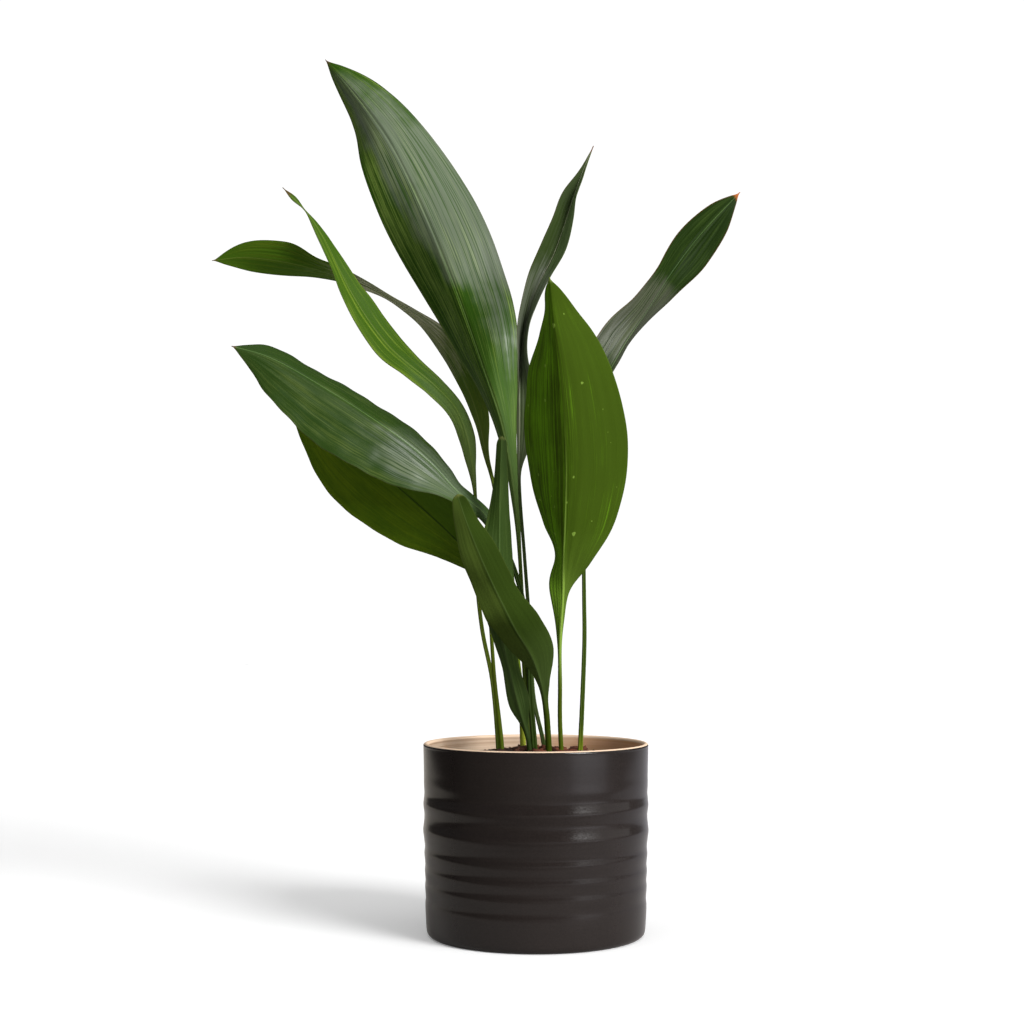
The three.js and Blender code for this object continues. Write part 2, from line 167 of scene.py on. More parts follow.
def addBump(tree, shader, height, bump):
    node = addNode(tree, "ShaderNodeBump", {
        "Strength": bump["strength"], "Distance": bump["depth"], "Height": height})
    tree.links.new(node.outputs[0], shader.inputs["Normal"])


# The dark and the light colour of a finish, over a pattern
def twoTones(tree, pattern, look):
    share = ramp(tree, pattern, *look["toneSpan"])
    return blendColour(tree, share, colourOf(look["dark"]), colourOf(look["light"]))


# Colour, a range of roughness over a pattern, and relief, for one shader
def surface(tree, shader, colour, roughBy, roughRange, height, bump):
    tree.links.new(colour, shader.inputs["Base Color"])
    tree.links.new(ramp(tree, roughBy, *patternSpan, *roughRange), shader.inputs["Roughness"])
    addBump(tree, shader, height, bump)


def attribute(tree, name):
    return addNode(tree, "ShaderNodeAttribute", attribute_name=name)


def named(tree, name, kind="FLOAT"):
    return addNode(tree, "GeometryNodeInputNamedAttribute", {"Name": name}, data_type=kind).outputs[0]


def meshFrom(name, points, faces, values=None):
    mesh = bpy.data.meshes.new(name)
    mesh.from_pydata(np.asarray(points).tolist(), [], faces)
    for label, data in (values or {}).items():
        data = np.asarray(data, np.float32)
        kind, key = ("FLOAT_VECTOR", "vector") if data.ndim == 2 else ("FLOAT", "value")
        mesh.attributes.new(label, kind, "POINT").data.foreach_set(key, data.ravel())
    piece = bpy.data.objects.new(name, mesh)
    bpy.context.scene.collection.objects.link(piece)
    return piece


def runNodes(piece, tree, values):
    modifier = piece.modifiers.new(tree.name, "NODES")
    modifier.node_group = tree
    for item in tree.interface.items_tree:
        if item.item_type == "SOCKET" and item.in_out == "INPUT" and item.name in values:
            modifier[item.identifier] = values[item.name]
    graph = bpy.context.evaluated_depsgraph_get()
    made = bpy.data.meshes.new_from_object(
        piece.evaluated_get(graph), preserve_all_data_layers=True, depsgraph=graph)
    piece.modifiers.clear()
    piece.data = made
    made.shade_smooth()
    return piece


def shifted(tree, geometry, offset):
    return addNode(tree, "GeometryNodeSetPosition", {"Geometry": geometry, "Offset": offset}).outputs[0]


def finished(tree, geometry, material):
    real = addNode(tree, "GeometryNodeRealizeInstances", {0: geometry}).outputs[0]
    return addNode(tree, "GeometryNodeSetMaterial", {"Geometry": real, "Material": material}).outputs[0]


# Points and faces of a profile turned round the z axis; the profile starts and ends on the axis
def turned(profile, sides):
    turns = np.arange(sides) * 2 * math.pi / sides
    rings = np.array(profile[1:-1])
    points = [np.array([[0, 0, profile[0][1]], [0, 0, profile[-1][1]]], float)]
    for radius, height in rings:
        points.append(np.stack([radius * np.cos(turns), radius * np.sin(turns), np.full(sides, height)], 1))
    faces = []
    for row in range(len(rings) + 1):
        for k in range(sides):
            near, far = 2 + (row - 1) * sides, 2 + row * sides
            n = (k + 1) % sides
            if row == 0:
                faces.append((0, far + n, far + k))
            elif row == len(rings):
                faces.append((1, near + k, near + n))
            else:
                faces.append((near + k, near + n, far + n, far + k))
    return np.concatenate(points) * mm, faces


# Camera at the photograph's viewing angle

view = {"eye": (-0.019, -1.450, 0.266), "pitch": 2.797, "lens": 63.3, "sensor": 36}

camera = bpy.data.objects.new("camera", bpy.data.cameras.new("camera"))
camera.data.lens = view["lens"]
camera.data.sensor_width = view["sensor"]
camera.location = view["eye"]
camera.rotation_euler = (math.radians(90 + view["pitch"]), 0, 0)
bpy.context.scene.collection.objects.link(camera)
bpy.context.scene.camera = camera

# Light from the right and a little from the front, with a broad one overhead

light = {
    "sideGlow": {"place": (2.0, -0.5, 0.55), "aim": (0, 0, 0.1), "spread": 70, "power": 0.7},
    "key": {"place": (1.60, -1.60, 1.15), "aim": (0, 0, 0.05), "spread": 26, "power": 3.0},
    "overhead": {"place": (-0.25, -0.35, 2.3), "aim": (0, 0, 0), "spread": 90, "power": 1.35},
}
strip = {"place": (1.53, -1.29, 0.43), "aim": (0, 0, 0.08), "breadth": 0.85, "height": 0.03, "power": 14}
roomGlow = 0.12
backdropGlow = 1.05

for name, look in {**light, "strip": strip}.items():
    lamp = bpy.data.lights.new(name, "SUN" if name in light else "AREA")
    if name in light:
        lamp.angle = math.radians(look["spread"])
    else:
        lamp.shape = "RECTANGLE"
        lamp.size, lamp.size_y = look["breadth"], look["height"]
    lamp.energy = look["power"]
    holder = bpy.data.objects.new(name, lamp)
    holder.location = look["place"]
    holder.rotation_euler = (Vector(look["aim"]) - Vector(look["place"])).to_track_quat("-Z", "Y").to_euler()
    bpy.context.scene.collection.objects.link(holder)

room = bpy.data.worlds.new("room")
bpy.context.scene.world = room
room.use_nodes = True
roomTree = room.node_tree
background = roomTree.nodes["Background"]
background.inputs["Color"].default_value = (1, 1, 1, 1)
seen = addNode(roomTree, "ShaderNodeLightPath").outputs["Is Camera Ray"]
level = addNode(roomTree, "ShaderNodeMapRange", {
    "Value": seen, "To Min": roomGlow, "To Max": backdropGlow})
roomTree.links.new(level.outputs[0], background.inputs["Strength"])
bpy.context.scene.view_settings.view_transform = "Standard"

# The floor is pale to the eye. Gloss rays see a painted reflection on it instead: a white sheet that ends at
# its reach, with a paler patch where the lamp on the right stands, for the pot to mirror
studioFloor = {
    "half": 6, "rough": 0.8, "gloss": 0.1, "ownGlow": 0.18, "grain": 3.0,
    "dull": (0.91, 0.91, 0.91, 1), "bright": (0.93, 0.93, 0.93, 1), "thrownBack": (0.4, 0.4, 0.4, 1),
    "tintSpan": (-0.8, 0.8), "tintLeft": (1.15, 1.06, 0.93, 1), "tintRight": (1, 0.99, 1.06, 1),
    "leftToRight": (-1.1, 1.3, 0.15, 0.56), "nearToFar": (-0.8, 0.1, 1.0, 0.25),
    "sheet": {"middle": (0.12, 0.95, 0), "reach": 1.15, "soft": 0.2, "white": 0.54},
    "patch": {"middle": (1.05, -0.80, 0), "reach": 0.35, "soft": 0.3, "white": 0.9},
}


def floorFinish():
    black = (0, 0, 0, 1)
    material, tree, shader = newMaterial(
        "floorFinish", Roughness=studioFloor["rough"], Specular_IOR_Level=studioFloor["gloss"],
        Emission_Strength=studioFloor["ownGlow"])
    rays = addNode(tree, "ShaderNodeLightPath").outputs
    place = objectPlace(tree)
    grain = noise(tree, place, studioFloor["grain"])
    pale = blendColour(tree, grain, studioFloor["dull"], studioFloor["bright"])
    x, y, _ = split(tree, place)
    nearer = ramp(tree, y, *studioFloor["nearToFar"])
    white = times(tree, nearer, ramp(tree, x, *studioFloor["leftToRight"]))
    for area in (studioFloor["sheet"], studioFloor["patch"]):
        away = vectorCalc(tree, "DISTANCE", place, area["middle"])
        glow = ramp(tree, away, area["reach"], area["reach"] + area["soft"], area["white"], 0.0)
        white = calc(tree, "MAXIMUM", white, glow)
    tint = blendColour(tree, ramp(tree, x, *studioFloor["tintSpan"]), studioFloor["tintLeft"],
                       studioFloor["tintRight"])
    # painted reflection: the colour only gloss rays see, brighter near and to the right, warmer on the left
    # and cooler on the right
    paintedReflection = blendColour(tree, white, black, tint)
    thrownBack = blendColour(tree, rays["Is Glossy Ray"], studioFloor["thrownBack"], paintedReflection)
    for unseen, label in ((thrownBack, "Base Color"), (black, "Emission Color")):
        tree.links.new(blendColour(tree, rays["Is Camera Ray"], unseen, pale), shader.inputs[label])
    return material


far = studioFloor["half"]
floor = meshFrom("floor", [(-far, -far, 0), (far, -far, 0), (far, far, 0), (-far, far, 0)], [(0, 1, 2, 3)])
floor.data.materials.append(floorFinish())
print("camera, lights and floor placed")


# Pot

pot = {
    "height": 152, "radius": 90, "footRadius": 87, "footRound": 5, "wall": 4, "floor": 6,
    "floorRound": 9, "wallTaper": 2.5, "sides": 192, "outerStep": 1.15, "innerStep": 1.8,
    "footTurn": 75, "soleRings": (30, 60, 76), "wellRings": (55, 30), "lipBare": 1.75,
    "markDepth": 0.015, "markPitch": 2.6, "markFrom": 6, "markTo": 149.5, "markFade": (6, 4), "wallZone": 14,
    "markWander": 9.0, "driftWander": 7.0, "driftPitch": 0.16, "driftShare": 3.0, "glazeEdge": 0.5,
    # height and stand-out of the thrown ridges, each with a steeper flank above its crest
    "ridges": [(5, 0), (12, 0.3), (23, 0.6), (26, 0.5), (30, 0.1), (39, 0.55), (44, 0.1), (51.5, 0.55),
               (56.5, 0.1), (65, 0.65), (70.5, 0.15), (77, 0.7), (83.5, 1.3), (87.5, 0.85), (91, 0.4),
               (95.5, 0.1), (103.5, 0.8), (107.5, 0.4), (113, -0.1), (120, 0.12), (128, 0), (152, 0)],
}


# Smooth line through listed points, level at each crest and valley
def standOut(points, height):
    spots = np.array(points, float)
    steps = np.diff(spots[:, 1]) / np.diff(spots[:, 0])
    slopes = np.zeros(len(spots))
    slopes[1:-1] = np.where(steps[:-1] * steps[1:] > 0, (steps[:-1] + steps[1:]) / 2, 0)
    k = int(np.clip(np.searchsorted(spots[:, 0], height) - 1, 0, len(spots) - 2))
    breadth = spots[k + 1, 0] - spots[k, 0]
    part = min(max((height - spots[k, 0]) / breadth, 0), 1)
    square, cube = part ** 2, part ** 3
    return (spots[k, 1] * (1 - 3 * square + 2 * cube) + spots[k + 1, 1] * (3 * square - 2 * cube)
            + breadth * (slopes[k] * (part - 2 * square + cube) + slopes[k + 1] * (cube - square)))


def outerRadius(height):
    taper = pot["footRadius"] + (pot["radius"] - pot["footRadius"]) * height / pot["height"]
    return taper + standOut(pot["ridges"], height)


def innerRadius(height):
    straight = pot["radius"] - pot["wall"] - pot["wallTaper"] * (pot["height"] - height) / pot["height"]
    above = max(height - pot["floor"], 0)
    bend = pot["floorRound"]
    if above >= bend:
        return straight
    return straight - bend + math.sqrt(bend ** 2 - (bend - above) ** 2)


def potProfile():
    foot, bend = pot["footRadius"], pot["footRound"]
    profile = [(0, 0)] + [(radius, 0) for radius in pot["soleRings"]]
    for turn in np.radians(np.linspace(0, pot["footTurn"], 7)):
        profile.append((foot - bend * (1 - math.sin(turn)), bend * (1 - math.cos(turn))))
    lip = pot["wall"] / 2
    lipHeight, wellHeight = pot["height"] - lip, pot["floor"] + pot["floorRound"]
    for height in np.arange(bend + 1, lipHeight, pot["outerStep"]):
        profile.append((outerRadius(height), height))
    for turn in np.linspace(0, math.pi, 11):
        profile.append((pot["radius"] - lip + lip * math.cos(turn), lipHeight + lip * math.sin(turn)))
    for height in np.arange(lipHeight - 1.5, wellHeight, -pot["innerStep"]):
        profile.append((innerRadius(height), height))
    for height in np.linspace(wellHeight, pot["floor"], 9):
        profile.append((innerRadius(height), height))
    return profile + [(radius, pot["floor"]) for radius in pot["wellRings"] + (0,)]


# Throwing marks: fine rings that the fingers leave in the turning clay
def throwingMarks():
    tree, given, made = newGroup("throwingMarks", "GeometryNodeTree", {
        "Geometry": "Geometry", "Mark Depth": 0.0001, "Mark Pitch": 0.002, "Wander": 9.0, "Drift Wander": 7.0,
        "Drift Pitch": 0.16, "Drift Share": 3.0, "Glaze": "Material", "Clay": "Material"}, {
        "Geometry": "Geometry"})
    x, y, z = split(tree, addNode(tree, "GeometryNodeInputPosition").outputs[0])
    rings = calc(tree, "DIVIDE", z, given["Mark Pitch"])
    marks = swing(tree, drawnNoise(tree, (x, y, rings), (given["Wander"], given["Wander"], 1.0)))
    slow = (given["Drift Wander"], given["Drift Wander"], given["Drift Pitch"])
    drift = swing(tree, drawnNoise(tree, (x, y, rings), slow, 1.0), given["Drift Share"])
    amount = times(tree, plus(tree, marks, drift), given["Mark Depth"], named(tree, "wall"))
    offset = vectorCalc(tree, "SCALE", addNode(tree, "GeometryNodeInputNormal").outputs[0], amount)
    glazed = finished(tree, shifted(tree, given["Geometry"], offset), given["Glaze"])
    inside = calc(tree, "GREATER_THAN", named(tree, "inside"), 0.5)
    bare = addNode(tree, "GeometryNodeSetMaterial", {
        "Geometry": glazed, "Selection": inside, "Material": given["Clay"]}).outputs[0]
    tree.links.new(bare, made[0])
    return tree


# Detail and roughness of the rings; scale, detail and roughness of the speckle and of the slow cloud
potGrain = {"rings": (4.0, 0.65), "speckle": (900.0, 2.0, 0.6), "cloud": (26.0, 3.0, 0.55)}


# Fine rings in the surface, for glaze and bare clay alike
def ringGrain():
    tree, given, made = newGroup("ringGrain", "ShaderNodeTree", {"Pitch": 0.001, "Wander": 8.0}, {
        "Rings": "Float", "Speckle": "Float", "Cloud": "Float"})
    place = objectPlace(tree)
    x, y, z = split(tree, place)
    rings = calc(tree, "DIVIDE", z, given["Pitch"])
    rings = drawnNoise(tree, (x, y, rings), (given["Wander"], given["Wander"], 1.0), *potGrain["rings"])
    tree.links.new(rings, made["Rings"])
    tree.links.new(noise(tree, place, *potGrain["speckle"]), made["Speckle"])
    tree.links.new(noise(tree, place, *potGrain["cloud"]), made["Cloud"])
    return tree


# Spans that are read from a place on the pot are in metres
glaze = {
    "dark": "1e1917", "light": "251f1d", "edge": "b9987c", "ringPitch": 0.0016, "wander": 6.0,
    "toneOf": {"Rings": 0.2, "Cloud": 0.3, "Speckle": 0.5}, "toneSpan": (0.32, 0.68),
    "edgeWander": 0.0006, "edgeSoft": 0.0002, "rough": (0.12, 0.18), "gloss": 0.3,
    "reliefOf": {"Rings": 0.3, "Speckle": 1.0}, "bump": {"strength": 0.04, "depth": 0.00005},
}
# The right side of the inner wall is painted paler and warmer: painted light on its shaded side.
clay = {
    "dark": "a4886f", "light": "c8b098", "warm": "bc8656", "paintedBounceLight": "f0b888", "lip": "e2c6aa",
    "ringPitch": 0.0009, "wander": 5.0, "toneSpan": (0.35, 0.65), "warmSpan": (0.45, 0.8, 0.0, 0.7),
    "paintedBounceSpan": (-0.01, 0.06, 0.0, 0.6), "lipSpan": (0.1495, 0.1505), "rough": (0.76, 0.9), "gloss": 0.3,
    "reliefOf": {"Rings": 1.0, "Speckle": 0.5}, "bump": {"strength": 0.5, "depth": 0.0004},
}
grain = ringGrain()


def glazeFinish():
    material, tree, shader = newMaterial("charcoalGlaze", Specular_IOR_Level=glaze["gloss"])
    marks = placeGroup(tree, grain, {"Pitch": glaze["ringPitch"], "Wander": glaze["wander"]})
    tone = weighted(tree, marks, glaze["toneOf"])
    colour = twoTones(tree, tone, glaze)
    height = split(tree, objectPlace(tree))[2]
    level = (pot["height"] - pot["glazeEdge"]) * mm
    edgeLine = plus(tree, level, swing(tree, marks["Cloud"], glaze["edgeWander"]))
    thin = ramp(tree, calc(tree, "SUBTRACT", height, edgeLine), -glaze["edgeSoft"], glaze["edgeSoft"])
    colour = blendColour(tree, thin, colour, colourOf(glaze["edge"]))
    relief = weighted(tree, marks, glaze["reliefOf"])
    surface(tree, shader, colour, marks["Speckle"], glaze["rough"], relief, glaze["bump"])
    return material


def clayFinish():
    material, tree, shader = newMaterial("bareClay", Specular_IOR_Level=clay["gloss"])
    marks = placeGroup(tree, grain, {"Pitch": clay["ringPitch"], "Wander": clay["wander"]})
    x, _, height = split(tree, objectPlace(tree))
    colour = twoTones(tree, marks["Rings"], clay)
    # Cloud gives warmer patches and the lip is paler; the x ramp is painted light, a paler, warmer right side
    # of the inner wall standing in for light thrown onto its shaded side
    for value, span, over in ((marks["Cloud"], "warmSpan", "warm"), (x, "paintedBounceSpan", "paintedBounceLight"),
                              (height, "lipSpan", "lip")):
        colour = blendColour(tree, ramp(tree, value, *clay[span]), colour, colourOf(clay[over]))
    relief = weighted(tree, marks, clay["reliefOf"])
    surface(tree, shader, colour, marks["Speckle"], clay["rough"], relief, clay["bump"])
    return material


potPoints, potFaces = turned(potProfile(), pot["sides"])
potReach = np.hypot(potPoints[:, 0], potPoints[:, 1]) / mm
potRise = potPoints[:, 2] / mm
# Bare clay inside, over the lip to its outer edge, and on the sole. The small numbers keep the edge of
# each zone clear of a ring of points.
onLip = potRise > pot["height"] - pot["wall"] / 2 - 0.5
onSole = (potRise < 1) & (potReach < pot["footRadius"] - pot["footRound"] - 2)
inWell = (potRise > pot["floor"] - 1) & (potReach < pot["footRadius"] - 0.9)
isInside = np.where(onLip, potReach < pot["radius"] - pot["wall"] / 2 + pot["lipBare"], onSole | inWell)
fadeUp, fadeDown = pot["markFade"]
fromFoot = np.clip((potRise - pot["markFrom"]) / fadeUp, 0, 1)
toRim = np.clip((pot["markTo"] - potRise) / fadeDown, 0, 1)
onWall = fromFoot * toRim * (potReach > pot["radius"] - pot["wallZone"])
potPiece = meshFrom("pot_thrown", potPoints, potFaces, {"wall": onWall, "inside": isInside})
runNodes(potPiece, throwingMarks(), {
    "Mark Depth": pot["markDepth"] * mm, "Mark Pitch": pot["markPitch"] * mm, "Wander": pot["markWander"],
    "Drift Wander": pot["driftWander"], "Drift Pitch": pot["driftPitch"], "Drift Share": pot["driftShare"],
    "Glaze": glazeFinish(), "Clay": clayFinish()})
print("pot thrown:", len(potPiece.data.polygons), "faces")


# Soil with bark chips

soil = {
    "gap": 0.3, "crown": 146.5, "edge": 134, "round": 1.4, "heapMiddle": 2, "sides": 160, "topStep": 1.5,
    "sideRings": (8, 11, 15, 60, 110, 128), "crumble": 1.2, "rimFlat": (84.5, 3),
    # scale, detail and roughness of the crumbs, in relief and in colour
    "crumbRelief": (170.0, 4.0, 0.65), "crumbs": (420.0, 5.0, 0.7),
    "dark": "1c120d", "light": "4a2c1e", "toneSpan": (0.35, 0.7), "rough": (0.85, 1.0), "gloss": 0.2,
    "bump": {"strength": 0.9, "depth": 0.0012},
}
# The bark is painted darker towards the left: painted shade.
bark = {
    "chips": 44, "chipReach": 80, "chipSeed": 7, "chipLength": (10, 18), "chipBreadth": (0.45, 0.75),
    "chipHeight": (5, 8), "chipTilt": 0.3, "chipShrink": 0.9, "chipSink": 0.6, "rimReach": 70, "rimSink": 1.5,
    "smallSpacing": 4.6, "smallReach": 79, "smallTilt": 0.6, "smallLeast": (4, 2.5, 2),
    "smallMost": (10, 6, 4), "smallSeed": 3, "stalkGap": 4.2, "weather": 1.6, "wearScale": 210.0,
    "dark": "2a150e", "light": "74402a", "paintedShade": "160d09", "fibres": (160, 520, 420),
    "toneOf": {"fibres": 0.6, "tone": 0.4}, "toneSpan": (0.25, 0.8), "paintedShadeSpan": (-0.03, 0.02, 0.75, 0.0),
    "rough": (0.7, 0.95), "gloss": 0.25, "bump": {"strength": 0.8, "depth": 0.0008},
}


# Heaped up a little to one side of the middle, and falling away to the wall
def soilHeight(x, y):
    out = np.hypot(x - soil["heapMiddle"], y) / (innerRadius(soil["edge"]) - soil["gap"])
    return soil["crown"] - (soil["crown"] - soil["edge"]) * np.minimum(out, 1) ** soil["round"]


# The same seeded numbers from 0 to 1 as the solids' chips have
def seededNumbers(seed):
    whole = 0xFFFFFFFF
    state = seed
    while True:
        state = (state + 0x6D2B79F5) & whole
        mixed = ((state ^ (state >> 15)) * (1 | state)) & whole
        mixed = ((mixed + (((mixed ^ (mixed >> 7)) * (61 | mixed)) & whole)) & whole) ^ mixed
        yield ((mixed ^ (mixed >> 14)) & whole) / 4294967296


def largeChips():
    numbers = seededNumbers(bark["chipSeed"])
    golden = math.pi * (3 - math.sqrt(5))
    places, turns, sizes = [], [], []

    def between(low, high):
        return low + (high - low) * next(numbers)

    for step in range(bark["chips"]):
        radius = bark["chipReach"] * math.sqrt((step + 0.5) / bark["chips"])
        length = between(*bark["chipLength"])
        size = (length, length * between(*bark["chipBreadth"]), between(*bark["chipHeight"]))
        for _ in range(24):  # the solid's eight corners are each moved by three numbers
            next(numbers)
        tilt = bark["chipTilt"]
        turns.append((between(-tilt, tilt), between(-tilt, tilt), between(0, math.pi)))
        sink = bark["rimSink"] if radius > bark["rimReach"] else bark["chipSink"]
        x, y = radius * math.cos(golden * step), radius * math.sin(golden * step)
        places.append((x * mm, y * mm, (soilHeight(x, y) - sink) * mm))
        sizes.append([side * bark["chipShrink"] * mm for side in size])
    return places, turns, sizes


def soilProfile():
    gap = soil["gap"]
    floorLevel = pot["floor"] + gap
    profile = [(0, floorLevel), (40, floorLevel), (innerRadius(pot["floor"]) - gap - 0.3, floorLevel)]
    for height in soil["sideRings"] + (soil["edge"],):
        rise = gap if height < pot["floor"] + pot["floorRound"] + 1 else 0
        profile.append((innerRadius(height) - gap - 0.15, height + rise))
    for radius in np.arange(84, 1.5, -soil["topStep"]):
        profile.append((radius, soil["edge"]))
    return profile + [(0, soil["edge"])]


# Crumbled soil: the top is roughened, the sides and the bottom stay
def soilCrumble():
    tree, given, made = newGroup("soilCrumble", "GeometryNodeTree", {
        "Geometry": "Geometry", "Crumb Height": 0.001, "Material": "Material"}, {"Geometry": "Geometry"})
    place = addNode(tree, "GeometryNodeInputPosition").outputs[0]
    amount = swing(tree, noise(tree, place, *soil["crumbRelief"]), given["Crumb Height"])
    amount = times(tree, amount, named(tree, "top"))
    moved = shifted(tree, given["Geometry"], combine(tree, 0.0, 0.0, amount))
    tree.links.new(finished(tree, moved, given["Material"]), made[0])
    return tree


# Bark chips: the large ones on their own places, small ones strewn between them, clear of the stalks
def barkLayer():
    tree, given, made = newGroup("barkLayer", "GeometryNodeTree", {
        "Geometry": "Geometry", "Ground": "Object", "Stalks": "Object", "Small Spacing": 0.005,
        "Stalk Gap": 0.004, "Weathering": 0.001, "Seed": "Int", "Material": "Material"}, {
        "Geometry": "Geometry"})
    block = addNode(tree, "GeometryNodeMeshCube", {
        "Size": (1, 1, 1), "Vertices X": 5, "Vertices Y": 4, "Vertices Z": 3}).outputs[0]
    large = addNode(tree, "GeometryNodeInstanceOnPoints", {
        "Points": given["Geometry"], "Instance": block, "Rotation": named(tree, "turn", "FLOAT_VECTOR"),
        "Scale": named(tree, "size", "FLOAT_VECTOR")}).outputs[0]
    ground = addNode(tree, "GeometryNodeObjectInfo", {"Object": given["Ground"]}).outputs["Geometry"]
    strewn = addNode(tree, "GeometryNodeDistributePointsOnFaces", {
        "Mesh": ground, "Distance Min": given["Small Spacing"], "Density Max": 60000.0,
        "Seed": given["Seed"]}, distribute_method="POISSON").outputs[0]
    stalks = addNode(tree, "GeometryNodeObjectInfo", {"Object": given["Stalks"]}).outputs["Geometry"]
    near = addNode(tree, "GeometryNodeProximity", {0: stalks}, target_element="POINTS").outputs["Distance"]
    kept = addNode(tree, "GeometryNodeDeleteGeometry", {
        "Geometry": strewn, "Selection": calc(tree, "LESS_THAN", near, given["Stalk Gap"])},
        domain="POINT").outputs[0]
    tilt = bark["smallTilt"]
    least, most = ([side * mm for side in bark[key]] for key in ("smallLeast", "smallMost"))
    turn = addNode(tree, "FunctionNodeRandomValue", {
        0: (-tilt, -tilt, 0), 1: (tilt, tilt, 6.28), "Seed": 11}, data_type="FLOAT_VECTOR").outputs[0]
    size = addNode(tree, "FunctionNodeRandomValue", {
        0: least, 1: most, "Seed": 12}, data_type="FLOAT_VECTOR").outputs[0]
    small = addNode(tree, "GeometryNodeInstanceOnPoints", {
        "Points": kept, "Instance": block, "Rotation": turn, "Scale": size}).outputs[0]
    joined = addNode(tree, "GeometryNodeJoinGeometry")
    tree.links.new(large, joined.inputs[0])
    tree.links.new(small, joined.inputs[0])
    tone = addNode(tree, "FunctionNodeRandomValue", {"Seed": 13}, data_type="FLOAT").outputs[1]
    toned = addNode(tree, "GeometryNodeStoreNamedAttribute", {
        "Geometry": joined.outputs[0], "Name": "tone", "Value": tone}, data_type="FLOAT", domain="INSTANCE")
    real = addNode(tree, "GeometryNodeRealizeInstances", {0: toned.outputs[0]}).outputs[0]
    place = addNode(tree, "GeometryNodeInputPosition").outputs[0]
    wear = addNode(tree, "ShaderNodeTexNoise", {"Vector": place, "Scale": bark["wearScale"]}).outputs[1]
    wear = vectorCalc(tree, "SCALE", vectorCalc(tree, "SUBTRACT", wear, (0.5, 0.5, 0.5)), given["Weathering"])
    tree.links.new(finished(tree, shifted(tree, real, wear), given["Material"]), made[0])
    return tree


def soilFinish():
    material, tree, shader = newMaterial("pottingSoil", Specular_IOR_Level=soil["gloss"])
    crumbs = noise(tree, objectPlace(tree), *soil["crumbs"])
    surface(tree, shader, twoTones(tree, crumbs, soil), crumbs, soil["rough"], crumbs, soil["bump"])
    return material


def barkFinish():
    material, tree, shader = newMaterial("barkChips", Specular_IOR_Level=bark["gloss"])
    place = objectPlace(tree)
    fibres = noise(tree, vectorCalc(tree, "MULTIPLY", place, bark["fibres"]), 1.0, 4.0, 0.6)
    tone = weighted(tree, {"fibres": fibres, "tone": attribute(tree, "tone").outputs["Fac"]}, bark["toneOf"])
    # painted shade: the chips darken towards the left, where shade falls
    paintedShade = ramp(tree, split(tree, place)[0], *bark["paintedShadeSpan"])
    colour = blendColour(tree, paintedShade, twoTones(tree, tone, bark), colourOf(bark["paintedShade"]))
    surface(tree, shader, colour, fibres, bark["rough"], fibres, bark["bump"])
    return material


# A turned form whose top is brought to the soil's height, and a mark on the points of its top
def heaped(profile, sides):
    points, faces = turned(profile, sides)
    onTop = points[:, 2] > (soil["edge"] - 0.1) * mm
    points[onTop, 2] = soilHeight(points[onTop, 0] / mm, points[onTop, 1] / mm) * mm
    return points, faces, onTop


soilPoints, soilFaces, onTop = heaped(soilProfile(), soil["sides"])
rimFlat, rimFade = soil["rimFlat"]
soilTop = onTop * np.clip((rimFlat - np.hypot(soilPoints[:, 0], soilPoints[:, 1]) / mm) / rimFade, 0, 1)
soilPiece = meshFrom("soil_filling", soilPoints, soilFaces, {"top": soilTop})
runNodes(soilPiece, soilCrumble(), {"Crumb Height": soil["crumble"] * mm, "Material": soilFinish()})
